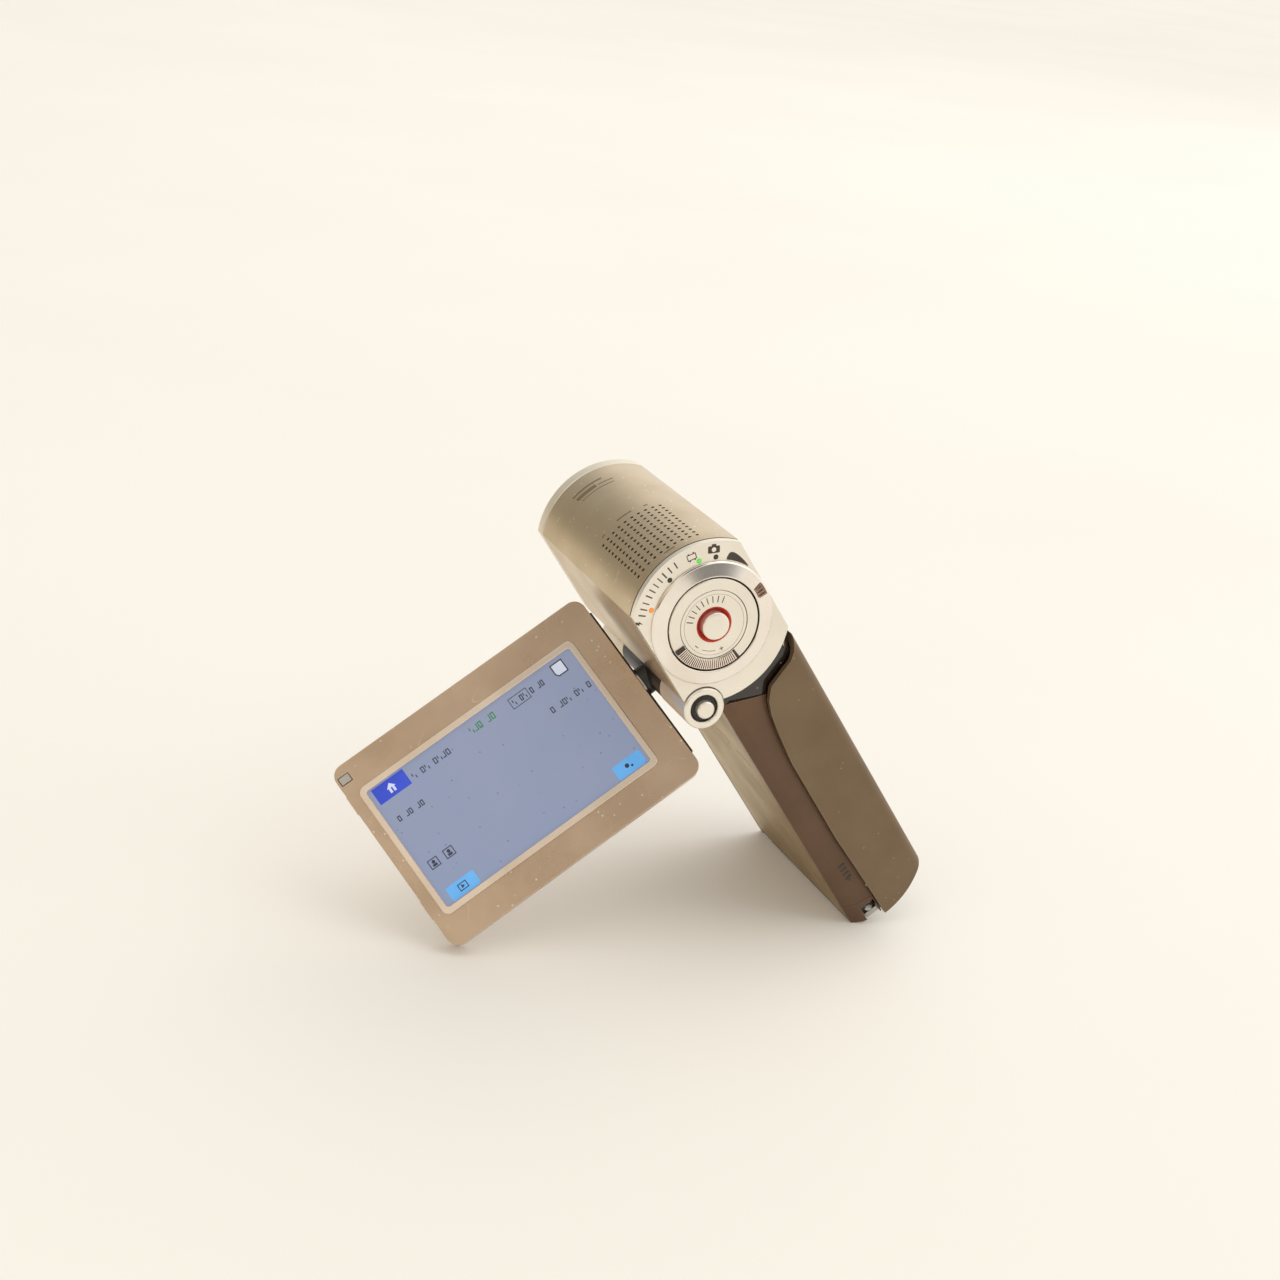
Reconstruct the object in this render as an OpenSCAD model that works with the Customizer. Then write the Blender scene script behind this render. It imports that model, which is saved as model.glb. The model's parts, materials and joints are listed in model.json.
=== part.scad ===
// Slim upright camcorder with a fold-out screen, standing propped on its open screen.
// Parts are drawn upright: X to the user's right, Y towards the scene being filmed, Z up.
// stance() then leans the whole camcorder onto its base edge and the lowest screen corner.

/* [Head] */
// Width of the head and grip across the flat sides
head_w = 30; // [28:0.5:33]
// Radius of the head's arched outline about the dial axis
head_r = 19.8; // [19:0.1:21]
// Height of the dial axis above the base
dial_z = 98.5; // [95:0.5:102]
// Length of the metal barrel from the back plate to the front seam
barrel_len = 58.6; // [56:0.2:60]
// Length of the front cap ahead of the seam
cap_len = 3.5; // [3:0.1:4]
// Wall of the barrel and cap
head_wall = 1.2; // [1:0.1:1.4]

/* [Grip] */
// Depth of the grip from pad to front face
grip_depth = 54.9; // [54:0.1:56]
// How far the raised pad stands behind the back plate's base plane
pad_rise = 0.6; // [0.4:0.1:0.8]
// Position of the sunken left face that takes the folded screen
left_face_x = -8.1; // [-8.4:0.1:-7.8]
// Radius of the rounded base
base_r = 19.2; // [18.8:0.1:20]
// Wall of the plastic covers
cover_wall = 1.4; // [1.2:0.1:1.5]

/* [Screen panel] */
// Length of the screen panel away from its hinge
panel_len = 72; // [70:0.5:73]
// Height of the screen panel
panel_h = 51; // [50:0.5:52]
// Thickness of the screen panel
panel_t = 5.8; // [5.4:0.1:6]
// Corner radius of the screen panel
panel_corner = 3; // [2:0.5:4]
// Lean of the screen away from vertical
panel_tilt = 37.9; // [30:0.1:40]
// Length of the visible picture
screen_len = 58.6; // [58:0.1:60]
// Height of the visible picture
screen_h = 33.2; // [33:0.1:34]

/* [Dial] */
// Outer radius of the mode ring
mode_ring_r = 14.9; // [14.5:0.1:15.2]
// Outer radius of the zoom ring
zoom_ring_r = 11; // [10.8:0.1:11.1]
// Radius of the fixed hub disc
hub_r = 8.2; // [8:0.1:8.25]
// Radius of the start and stop button
start_r = 3.25; // [3:0.05:3.3]
// How far the start button stands out of the hub
start_proud = 1.4; // [1:0.1:1.6]
// Number of thumb ridges on the zoom ring
ridge_count = 24; // [16:1:30]

/* [Microphone grille] */
// Holes along the barrel
mic_rows = 12; // [8:1:12]
// Holes around the barrel
mic_columns = 10; // [6:1:10]
// Radius of one hole
mic_hole_r = 0.42; // [0.3:0.02:0.5]

/* [Hidden] */

$fn = 72;
// Overlap between joined solids, and the clearance of a pressed fit
tiny = 0.01;
// Gaps between covers that meet, between covers that open, and round a turning shaft
fit_gap = 0.03;
seam = 0.15;
run_gap = 0.06;

cap_front = barrel_len + 0.3 + cap_len;
plate_t = 1.5;
grip_back = -pad_rise;
grip_front = grip_back + grip_depth;
right_x = head_w / 2;
grip_top = 76;

// Lamps and printed dots on the back plate
lamp_circle_r = 15.75;
lamp_r = 0.52;
charge_deg = 131;
movie_deg = 73;
mark_degs = [102, 58];

// Screen hinge: the fold axis runs along Y and the tilt axis along X, and they cross
hinge_x = -11.8;
hinge_z = dial_z - 17.3;
knuckle_r = 4.9;
bezel_r = 5.05;
hinge_pin_r = 1.5;
tilt_y = 24.6;
tilt_r = 1.1;
block_y0 = 14.1;
block_y1 = 37.4;
knuckle_end = 51;
panel_edge_x = -18.3;

// Screen opening in the panel frame
screen_u0 = 9;
screen_u1 = screen_u0 + screen_len;
bezel_w = 1.6;
bezel_rise = 0.7;

// Catch in the corner of the frame, from catch_x and catch_y
catch_x = 68.5;
catch_y = -23;
catch_len = 2.7;
catch_w = 1.9;

// Screws in the panel's back
screw_x = 6;
screw_y = 20.5;
screw_r = 1.05;

// Base cover, its pin, and the room that it needs to swing down
cover_right_x = 13.2;
cover_t = 1.3;
pin_y = 48.6;
pin_z = 3.2;
pin_r = 0.8;
pin_half = 5.4;
ear_r = 1.45;
ear_x = 1.8;
ear_w = 1.5;
knuckle_x = ear_x + ear_w + 0.3;
cover_lip = 2.6;
cover_front_y = pin_y + cover_lip;
lip_sweep = norm([cover_lip, pin_z]) + 0.2;
opening_front_y = pin_y + pin_z + 0.25;

// Sunken strip beside the pad
strip_y = 0.8;
bevel_x = -5.3;
bevel_y = 2.1;
strip_in_y = 2.3;
neck_y = 1.5;
corner_trim_x = right_x - cover_wall - 1.8;
corner_trim_z = 80.6;

// Oval side buttons on the left face: their middles as [y, z], half the straight part, radius
side_buttons = [[22, 56.5], [13.4, 53.6]];
side_button_half = 2.2;
side_button_r = 1.2;

// Strap lug's hole, and the band that the lug takes up across the grip
strap_hole_r = 1;
lug_x0 = -4;
lug_x1 = -0.6;

// Dock connector's band across the grip
dock_x0 = -3.4;
dock_x1 = 9.4;
dock_wall = 1.2;

// Lens opening and its two sliding covers
lens_open_r = 7.4;
blade_half = 7.8;
blade_t = 0.7;
blade_gap = 0.1;
blade_travel = 7.5;
blade_y = cap_front - 2.7;
lens_bore_r = 8.4;
glass_r = lens_bore_r - 0.05;
carriage_r = lens_bore_r - 0.2;

// Chassis box
frame_x0 = -6.6;
frame_x1 = 13.35;
frame_y0 = 2.5;
frame_y1 = 52.6;
frame_z0 = 8.6;
frame_z1 = 74;
frame_wall = 0.8;
bay_top = 55;
web_z = 6.5;

// ---- Stance -------------------------------------------------------------------------------
base_edge_z = base_r - sqrt(base_r * base_r - left_face_x * left_face_x);
right_edge_z = base_r - sqrt(base_r * base_r - right_x * right_x);
corner_x = panel_edge_x - panel_len + panel_corner;
corner_half = panel_h / 2 - panel_corner;
back_drop = panel_t / 2 * sin(panel_tilt);

// Height at which a point, upright at x and z, ends up once the camcorder leans by a
function leaned_height(x, z, a) = x * sin(a) + z * cos(a);

// Height of the rounded lower corner of the panel's back at a lean of a
function corner_height(a) =
    leaned_height(corner_x, hinge_z - corner_half * cos(panel_tilt) - back_drop, a)
    - panel_corner * norm([sin(a), cos(a) * cos(panel_tilt)]);

// The lean at which base edge and panel corner touch the ground together, by bisection
function find_lean(low, high, steps) =
    steps == 0 ? (low + high) / 2 :
    corner_height((low + high) / 2) > leaned_height(left_face_x, base_edge_z, (low + high) / 2)
        ? find_lean((low + high) / 2, high, steps - 1)
        : find_lean(low, (low + high) / 2, steps - 1);

lean = find_lean(10, 60, 30);
ground_z = leaned_height(left_face_x, base_edge_z, lean);
reach_left = corner_x * cos(lean)
    - (hinge_z + corner_half * cos(panel_tilt) + back_drop) * sin(lean)
    - panel_corner * norm([cos(lean), sin(lean) * cos(panel_tilt)]);
reach_right = right_x * cos(lean) - right_edge_z * sin(lean);
start_tip_y = -1.2 - start_proud;

module stance() {
    translate([-(reach_left + reach_right) / 2, -(start_tip_y + cap_front) / 2, -ground_z])
        rotate([0, -lean, 0])
            children();
}

// ---- Helpers ------------------------------------------------------------------------------
// An X-Z outline extruded along Y from y0 to y1
module along_y(y0, y1) {
    translate([0, y1, 0])
        rotate([90, 0, 0])
            linear_extrude(y1 - y0)
                children();
}

module rod_y(r, y0, y1, x = 0, z = 0) {
    translate([x, y1, z])
        rotate([90, 0, 0])
            cylinder(r = r, h = y1 - y0);
}

module tube_y(r, bore, y0, y1, x = 0, z = 0) {
    difference() {
        rod_y(r, y0, y1, x, z);
        rod_y(bore, y0 - 1, y1 + 1, x, z);
    }
}

// A profile of [radius, height towards the user] points turned about the dial axis
module dial_turned(points) {
    translate([0, 0, dial_z])
        rotate([90, 0, 0])
            rotate_extrude()
                polygon(points);
}

module rod_x(r, x0, x1, y, z) {
    translate([x0, y, z])
        rotate([0, 90, 0])
            cylinder(r = r, h = x1 - x0);
}

module box(x0, x1, y0, y1, z0, z1) {
    translate([x0, y0, z0])
        cube([x1 - x0, y1 - y0, z1 - z0]);
}

module head_outline(inset = 0) {
    translate([0, dial_z])
        intersection() {
            circle(r = head_r - inset);
            square([head_w - 2 * inset, 2 * head_r], center = true);
        }
}

module hinge_circle(r) {
    translate([hinge_x, hinge_z])
        circle(r = r);
}

module head_circle(r) {
    translate([0, dial_z])
        circle(r = r);
}

// Outline of the whole grip seen from behind
module grip_outline(inset = 0) {
    intersection() {
        translate([left_face_x + inset, 0])
            square([right_x - left_face_x - 2 * inset, dial_z]);
        union() {
            translate([0, base_r])
                circle(r = base_r - inset);
            translate([-head_w, base_r])
                square([2 * head_w, dial_z]);
        }
    }
}

// Raised pad seen from behind: its edge bends in under the head
pad_points = [
    [0.4, -5], [-0.2, 12], [-0.9, 28], [-0.8, 54], [0.1, 63.2], [0.9, 68.6], [2, 72.2],
    [4.2, 75.2], [8.5, 76.8], [11.1, 77.7], [13, 79.4], [14.3, 81.3], [16.5, 85.5], [24, 90],
    [24, -5]
];

module pad_outline() {
    intersection() {
        grip_outline();
        offset(r = 2)
            offset(r = -2)
                polygon(pad_points);
    }
}

// Rounded outline of the grip seen from above
module grip_section(inset = 0) {
    round_r = 2.2;
    offset(r = round_r)
        translate([left_face_x - 5 + inset + round_r, grip_back + inset + round_r])
            square([
                right_x - left_face_x + 5 - 2 * inset - 2 * round_r,
                grip_depth - 2 * inset - 2 * round_r
            ]);
}

// Section of the rear strip seen from above: a bevel, then a shallow slope towards the pad
module strip_section() {
    polygon([
        [left_face_x, strip_in_y + 1.2], [left_face_x, bevel_y], [bevel_x, strip_y],
        [6, 1.4], [6, strip_in_y], [left_face_x + 1.3, strip_in_y],
        [left_face_x + 1.3, strip_in_y + 1.2]
    ]);
}

// Small flash window in the front of the grip
module flash_outline(grow = 0) {
    translate([-6 - grow, 64 - grow])
        square([4.8 + 2 * grow, 8.4 + 2 * grow]);
}

// Region between the left face and the pad, at a gap from the pad
module strip_region(gap) {
    difference() {
        grip_outline();
        offset(delta = gap)
            pad_outline();
        head_circle(head_r + 0.3);
        hinge_circle(bezel_r + 0.35);
    }
}

// Everything above the slanted split between rear strip and base cover
module above_split(gap) {
    polygon([
        [left_face_x - 1, 7.9 + gap], [right_x, 1.9 + gap], [right_x, dial_z], [left_face_x - 1, dial_z]
    ]);
}

// Everything below the line where the strip ends at the neck
module below_neck(gap) {
    polygon([
        [-head_w, -1], [-head_w, 78 + gap], [-5.6, 77.2 + gap], [-1, 74.9 + gap], [3.3, 72.9 + gap],
        [right_x + 1, 70 + gap], [right_x + 1, -1]
    ]);
}

// Neck seen from behind, from x0 and z0 up to the head and the hinge
module neck_outline(x0, z0) {
    difference() {
        translate([x0, z0])
            square([right_x - cover_wall - 0.1 - x0, grip_top + 10 - z0]);
        head_circle(head_r + 0.15);
        hinge_circle(bezel_r + 0.38);
    }
}

// Panel coordinates: x along the panel from its hinge edge, y down its face, z out of the screen
module on_panel() {
    translate([panel_edge_x, tilt_y, hinge_z])
        rotate([90 - panel_tilt, 0, 0])
            rotate([0, 0, 180])
                children();
}

module panel_sheet(x0, x1, half_h, z0, z1, corner) {
    translate([0, 0, z0])
        linear_extrude(z1 - z0)
            offset(r = corner)
                translate([x0 + corner, -half_h + corner])
                    square([x1 - x0 - 2 * corner, 2 * half_h - 2 * corner]);
}

// ---- Head -------------------------------------------------------------------------------
module barrel_shell() {
    mic_pitch_y = 1.95;
    mic_pitch_deg = 5.4;
    mic_y0 = 4.9;
    color("#b8a88c")
        difference() {
            along_y(plate_t + 0.25, barrel_len)
                difference() {
                    head_outline();
                    head_outline(head_wall);
                }
            rod_y(bezel_r + 0.35, -1, knuckle_end + 0.3, hinge_x, hinge_z);
            // Cable way down into the neck
            box(-6, 12, 8, 50, dial_z - head_r - 1, dial_z - head_r + 3);
            for (column = [0 : mic_columns - 1], row = [0 : mic_rows - 1])
                translate([0, mic_y0 + row * mic_pitch_y, dial_z])
                    rotate([0, (column - (mic_columns - 1) / 2) * mic_pitch_deg, 0])
                        translate([0, 0, head_r - head_wall - 1])
                            cylinder(r = mic_hole_r, h = head_wall + 2, $fn = 16);
        }
}

module cap_gasket() {
    color("#1c1a19")
        along_y(barrel_len + 0.02, barrel_len + 0.28)
            difference() {
                head_outline(0.35);
                head_outline(head_wall);
            }
}

module front_cap() {
    face_t = 1.5;
    color("#e6dccb")
        difference() {
            along_y(barrel_len + 0.3, cap_front)
                head_outline();
            along_y(barrel_len, cap_front - face_t)
                head_outline(head_wall);
            rod_y(12.3, barrel_len, cap_front + 1, 0, dial_z);
        }
}

module lens_bezel() {
    color("#232225")
        dial_turned([
            [lens_open_r, -(cap_front - 1.5)], [12.2, -(cap_front - 1.5)],
            [12.2, -(cap_front - 0.1)], [11.4, -cap_front], [9.2, -(cap_front - 0.5)],
            [lens_open_r, -(cap_front - 1.3)]
        ]);
}

module cover_guide() {
    color("#3a3a3d")
        along_y(barrel_len + 0.35, barrel_len + 0.85)
            difference() {
                head_outline(head_wall + 0.2);
                head_circle(lens_open_r + 0.2);
            }
}

// One half of the lens cover, parked clear of the opening
module lens_cover(side) {
    offset_z = side > 0 ? blade_travel + blade_gap : -blade_travel - blade_gap - blade_half;
    box(-blade_half, blade_half, blade_y, blade_y + blade_t,
        dial_z + offset_z, dial_z + offset_z + blade_half);
}

module upper_lens_cover() {
    color("#45454a") lens_cover(1);
}

module lower_lens_cover() {
    color("#45454a") lens_cover(-1);
}

module lens_barrel() {
    tube_back = 31;
    flange_t = 2.5;
    rear_wall = 1.5;
    color("#2a2a2d")
        difference() {
            union() {
                rod_y(10.4, tube_back, barrel_len - 0.4, 0, dial_z);
                rod_y(12.5, tube_back, tube_back + flange_t, 0, dial_z);
            }
            rod_y(lens_bore_r, tube_back + rear_wall, barrel_len + 1, 0, dial_z);
            rod_y(5, tube_back - 1, tube_back + 2, 0, dial_z);
        }
}

module front_lens() {
    color("#7c8ea8")
        dial_turned([
            [0, -58.2], [2.5, -58.05], [5, -57.5], [7, -56.6], [glass_r, -55.6], [glass_r, -53.4],
            [5, -54.2], [2.5, -54.6], [0, -54.8]
        ]);
}

module zoom_carriage() {
    color("#55565a")
        dial_turned([
            [0, -46.4], [3, -46.2], [5.6, -45.4], [7, -45.4], [7, -47.4], [carriage_r, -47.4],
            [carriage_r, -40.4], [7, -40.4], [7, -42.2], [5.6, -42.2], [3, -41.6], [0, -41.4]
        ]);
}

module sensor_board() {
    board_y = 28.6;
    chip_y = board_y + 1;
    color("#2f5a3c") {
        box(-11, 11, board_y, chip_y, dial_z - 10, dial_z + 10);
        box(-3.6, 3.6, chip_y, chip_y + 1, dial_z - 2.8, dial_z + 2.8);
    }
}

module mic_board() {
    board_z = dial_z + 13.2;
    board_t = 0.8;
    color("#2f5a3c") {
        box(-9.5, 9.5, 6.4, 27.4, board_z, board_z + board_t);
        for (capsule_x = [-5, 5], capsule_y = [10, 22])
            translate([capsule_x, capsule_y, board_z + board_t])
                cylinder(r = 2, h = 1.2);
    }
}

// ---- Dial -------------------------------------------------------------------------------
module back_plate() {
    color("#eee6d6")
        difference() {
            along_y(0, plate_t)
                difference() {
                    head_outline(0.12);
                    hinge_circle(bezel_r + 0.25);
                    head_circle(12.4);
                }
            for (angle = concat([charge_deg, movie_deg], mark_degs))
                plate_dot(lamp_r + 0.08, -1, plate_t + 1, angle);
        }
}

module mode_ring() {
    inner_r = 11.35;
    sleeve_r = 12.3;
    color("#d9cfc0")
        dial_turned([
            [inner_r, -2.6], [sleeve_r, -2.6], [sleeve_r, 0.06], [mode_ring_r, 0.06],
            [mode_ring_r, 0.45], [mode_ring_r - 0.3, 0.7], [inner_r + 0.25, 1.3], [inner_r, 1.1]
        ]);
}

module mode_ring_clip() {
    color("#8d8d90")
        tube_y(13.4, 12.3 + tiny, plate_t + 0.1, plate_t + 0.7, 0, dial_z);
}

// Wedge on the mode ring's cone with three grip ridges
module thumb_tab() {
    tab_half_deg = 6;
    ridge_deg = 4;
    color("#8a6a55")
        translate([0, 0, dial_z])
            rotate([90, 0, 0]) {
                rotate([0, 0, -tab_half_deg])
                    rotate_extrude(angle = 2 * tab_half_deg)
                        polygon([[12.1, 1.22], [14.3, 0.78], [14.3, 1.18], [12.1, 1.5]]);
                for (ridge = [-1, 0, 1])
                    rotate([0, 0, ridge * ridge_deg])
                        translate([12.3, -0.2, 1.2])
                            cube([1.5, 0.4, 0.55]);
            }
}

// Flat ring with its row of thumb ridges between two end stops
module zoom_ring() {
    ridge_from = 181;
    ridge_to = 277;
    color("#ece3d3") {
        dial_turned([
            [hub_r + 0.12, -2.9], [9.3, -2.9], [9.3, -0.3], [zoom_ring_r, -0.3],
            [zoom_ring_r, 1], [zoom_ring_r - 0.2, 1.2], [hub_r + 0.12, 1.2]
        ]);
        for (ridge = [0 : ridge_count - 1])
            translate([0, 0, dial_z])
                rotate([0, -(ridge_from + (ridge_to - ridge_from) * ridge / (ridge_count - 1)), 0])
                    box(hub_r + 0.5, zoom_ring_r - 0.35, -1.55, -1.1, -0.14, 0.14);
    }
}

module hub_disc() {
    color("#efe7d8")
        dial_turned([
            [4.3, 0.3], [hub_r, 0.3], [hub_r, 1.05], [hub_r - 0.15, 1.2], [4.3, 1.2]
        ]);
}

module light_ring() {
    color("#c23a22")
        dial_turned([
            [start_r + 0.15, -1.4], [4.28, -1.4], [4.28, 1.1], [4.1, 1.15], [start_r + 0.15, 0.2]
        ]);
}

module start_button() {
    tip = 1.2 + start_proud;
    color("#f3ecdf")
        dial_turned([
            [0, -2.2], [3.8, -2.2], [3.8, -1.55], [start_r, -1.55], [start_r, tip - 0.35],
            [start_r - 0.1, tip - 0.15], [start_r - 0.35, tip], [0, tip]
        ]);
}

module dial_base() {
    color("#3b3735")
        difference() {
            union() {
                along_y(3.3, 4.3)
                    head_outline(head_wall + 0.3);
                rod_y(hub_r - 0.05, -0.29, 3.3 + tiny, 0, dial_z);
            }
            rod_y(4.3, -1, 5, 0, dial_z);
            rod_y(bezel_r + 0.35, -1, 6, hinge_x, hinge_z);
        }
}

module control_board() {
    color("#2f5a3c") {
        difference() {
            along_y(4.9, 5.8)
                head_outline(head_wall + 0.6);
            rod_y(bezel_r + 0.5, 4, 7, hinge_x, hinge_z);
        }
        rod_y(2.4, 3.6, 4.9, 0, dial_z);
    }
}

// A round rod through the back plate at an angle about the dial axis
module plate_dot(r, y0, y1, angle) {
    rod_y(r, y0, y1, lamp_circle_r * cos(angle), dial_z + lamp_circle_r * sin(angle));
}

module plate_light(angle) {
    plate_dot(lamp_r, -0.12, plate_t, angle);
}

module movie_light() {
    color("#5bd24a") plate_light(movie_deg);
}

module charge_light() {
    color("#f0a43c") plate_light(charge_deg);
}

module mode_marks() {
    color("#4a4038")
        for (angle = mark_degs)
            plate_light(angle);
}

// ---- Screen hinge -----------------------------------------------------------------------
module photo_bezel() {
    color("#e9e0d0")
        translate([hinge_x, 0, hinge_z])
            rotate([90, 0, 0])
                rotate_extrude()
                    polygon([
                        [3.35, -13.9], [bezel_r, -13.9], [bezel_r, 0.4], [bezel_r - 0.3, 0.7],
                        [3.55, 0.7], [3.35, 0.5]
                    ]);
}

module photo_button() {
    color("#e9e0d0")
        translate([hinge_x, 0, hinge_z])
            rotate([90, 0, 0])
                rotate_extrude()
                    polygon([
                        [0, -3.4], [3.2, -3.4], [3.2, 0.1], [2.9, 0.3], [2.35, 0.3], [2.1, 0.7],
                        [2.1, 1.5], [1.75, 1.8], [0, 1.8]
                    ]);
}

module hinge_pin() {
    head_y = 8.8;
    color("#a9abad") {
        rod_y(hinge_pin_r, head_y, 49.8, hinge_x, hinge_z);
        rod_y(3.34, head_y - 0.8, head_y, hinge_x, hinge_z);
    }
}

// Folding knuckle: a tube on the pin with a boss that carries the tilt shaft
module hinge_block() {
    color("#1f1e1f")
        difference() {
            union() {
                rod_y(knuckle_r, block_y0, block_y1, hinge_x, hinge_z);
                rod_x(3.6, -17.7, hinge_x, tilt_y, hinge_z);
            }
            rod_y(hinge_pin_r + run_gap, block_y0 - 1, block_y1 + 1, hinge_x, hinge_z);
            rod_x(tilt_r + run_gap, -19, hinge_x - hinge_pin_r - 0.2, tilt_y, hinge_z);
        }
}

module front_knuckle() {
    color("#e9e0d0")
        difference() {
            rod_y(knuckle_r, block_y1 + 0.3, knuckle_end, hinge_x, hinge_z);
            rod_y(hinge_pin_r + tiny, block_y1, 49.9, hinge_x, hinge_z);
        }
}

module hinge_cradle() {
    cradle_t = 0.82;
    cradle_gap = 0.38;
    color("#2b2523")
        along_y(8.2, knuckle_end + 0.2)
            intersection() {
                difference() {
                    hinge_circle(bezel_r + cradle_gap + cradle_t);
                    hinge_circle(bezel_r + cradle_gap);
                }
                translate([-8.6, grip_top - 0.6])
                    square([6, 12]);
                head_circle(head_r - head_wall - 0.1);
            }
}

module tilt_shaft() {
    color("#a9abad") {
        rod_x(tilt_r, -26, hinge_x - hinge_pin_r - 0.6, tilt_y, hinge_z);
        // Washer between the block and the panel
        difference() {
            rod_x(3, panel_edge_x + 0.05, panel_edge_x + 0.5, tilt_y, hinge_z);
            rod_x(tilt_r - 0.3, panel_edge_x - 1, panel_edge_x + 1, tilt_y, hinge_z);
        }
    }
}

module hinge_bracket() {
    color("#8f9092")
        on_panel()
            difference() {
                translate([1.6, -9, -1.65])
                    cube([5.6, 18, 3.2]);
                rotate([0, 90, 0])
                    cylinder(r = tilt_r + tiny, h = 12);
            }
}

// ---- Screen panel -----------------------------------------------------------------------
module panel_frame() {
    color("#a98a6e")
        on_panel()
            difference() {
                panel_sheet(0, panel_len, panel_h / 2, 1.7, panel_t / 2, panel_corner);
                panel_sheet(screen_u0 - 0.6, screen_u1 + 0.6, screen_h / 2 + 0.6, 1, 4, 0.8);
                translate([catch_x - 0.1, catch_y - 0.1, panel_t / 2 - 0.6])
                    cube([catch_len + 0.2, catch_w + 0.2, 2]);
            }
}

module screen_bezel() {
    color("#d8c3a8")
        on_panel()
            difference() {
                panel_sheet(screen_u0 - bezel_w, screen_u1 + bezel_w, screen_h / 2 + bezel_w,
                    panel_t / 2 + 0.01, panel_t / 2 + bezel_rise, 1.8);
                panel_sheet(screen_u0, screen_u1, screen_h / 2, 1, 5, 0.7);
            }
}

module screen_glass() {
    color("#9196b4")
        on_panel()
            panel_sheet(screen_u0 - 0.5, screen_u1 + 0.5, screen_h / 2 + 0.5, 2.1, panel_t / 2, 0.7);
}

module display_module() {
    color("#55585c")
        on_panel()
            panel_sheet(screen_u0 - 0.4, screen_u1 + 2, screen_h / 2 + 1.4, -1.5, 1.65, 0.5);
}

module panel_back() {
    color("#b09a80")
        on_panel()
            difference() {
                panel_sheet(0, panel_len, panel_h / 2, -panel_t / 2, 1.6, panel_corner);
                panel_sheet(1.2, panel_len - 1.2, panel_h / 2 - 1.2, -panel_t / 2 + 1.2, 3, 1.8);
                translate([-1, 0, 0])
                    rotate([0, 90, 0])
                        cylinder(r = tilt_r + 0.1, h = 4);
                for (x = [screw_x, panel_len - screw_x], y = [-screw_y, screw_y])
                    translate([x, y, -panel_t / 2 - 1])
                        cylinder(r = screw_r + 0.1, h = 1.5);
            }
}

module panel_edge_strip() {
    color("#17181a")
        on_panel()
            difference() {
                translate([-0.5, -20.6, -2])
                    cube([0.49, 41.2, 4]);
                translate([-1, 0, 0])
                    rotate([0, 90, 0])
                        cylinder(r = 3.2, h = 2);
            }
}

module panel_catch() {
    color("#d7d3cc")
        on_panel()
            translate([catch_x, catch_y, panel_t / 2 - 0.55])
                cube([catch_len, catch_w, 0.75]);
}

module panel_screws() {
    color("#8d8d90")
        on_panel()
            for (x = [screw_x, panel_len - screw_x], y = [-screw_y, screw_y])
                translate([x, y, -panel_t / 2 + 0.05])
                    difference() {
                        cylinder(r = screw_r, h = 0.44);
                        for (turn = [0, 90])
                            rotate([0, 0, turn])
                                translate([-0.7, -0.12, -0.1])
                                    cube([1.4, 0.24, 0.3]);
                    }
}

// ---- Grip covers ------------------------------------------------------------------------
module right_cover() {
    color("#7d6a56")
        difference() {
            intersection() {
                linear_extrude(dial_z)
                    grip_section();
                along_y(grip_back - 1, grip_front + 1)
                    pad_outline();
            }
            intersection() {
                linear_extrude(dial_z)
                    grip_section(cover_wall);
                along_y(grip_back, grip_front)
                    grip_outline(cover_wall);
            }
            box(-5, cover_right_x + seam, 0.9, opening_front_y, -1, 9);
            along_y(grip_back - 1, grip_front + 1)
                head_circle(head_r + 0.15);
            rod_x(lip_sweep, -5, cover_right_x + seam, pin_y, pin_z);
        }
}

module rear_strip() {
    color("#64513f")
        intersection() {
            linear_extrude(dial_z)
                strip_section();
            along_y(-1, 6)
                intersection() {
                    strip_region(fit_gap);
                    above_split(seam / 2);
                    below_neck(0);
                }
        }
}

module front_strip() {
    color("#7d6a56")
        along_y(grip_front - cover_wall, grip_front)
            difference() {
                intersection() {
                    strip_region(fit_gap);
                    translate([-head_w, 0])
                        square([2 * head_w, grip_top - 0.4]);
                }
                flash_outline(0.08);
            }
}

// Left face: a thin metal skin that ends just above the lip of the base cover
module left_plate() {
    color("#b39a6e")
        difference() {
            box(left_face_x, left_face_x + 1.2, 3.6, grip_front - cover_wall - 0.1, 2.55, grip_top - 0.6);
            rod_y(bezel_r + 0.4, 0, 60, hinge_x, hinge_z);
            for (button = side_buttons)
                side_button_shape(button, 0.12, -9, 0);
        }
}

// A flush oval button at [y, z] on the left face, from x0 to x1
module side_button_shape(place, grow, x0, x1) {
    for (end = [-1, 1])
        rod_x(side_button_r + grow, x0, x1, place[0] + end * side_button_half, place[1]);
    box(x0, x1, place[0] - side_button_half, place[0] + side_button_half,
        place[1] - side_button_r - grow, place[1] + side_button_r + grow);
}

module forward_side_button() {
    color("#a58d64") side_button_shape(side_buttons[0], 0, left_face_x - 0.05, left_face_x + 1);
}

module rear_side_button() {
    color("#a58d64") side_button_shape(side_buttons[1], 0, left_face_x - 0.05, left_face_x + 1);
}

// Glossy recess between head and grip: a block behind a thin rear lip
module neck_trim() {
    color("#2c211d")
        difference() {
            intersection() {
                union() {
                    along_y(frame_y0 - 0.08, grip_front - cover_wall - 0.1)
                        neck_outline(left_face_x + 1.4, frame_z1 + 0.1);
                    along_y(neck_y, frame_y0 - 0.04)
                        difference() {
                            neck_outline(left_face_x + 0.3, 70);
                            below_neck(seam);
                            translate([corner_trim_x - 0.1, corner_trim_z - 0.1])
                                square([4, 8]);
                        }
                }
                linear_extrude(dial_z)
                    grip_section(cover_wall + 0.12);
            }
            box(-2, 9, 10, 45, frame_z1, dial_z);
        }
}

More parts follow.
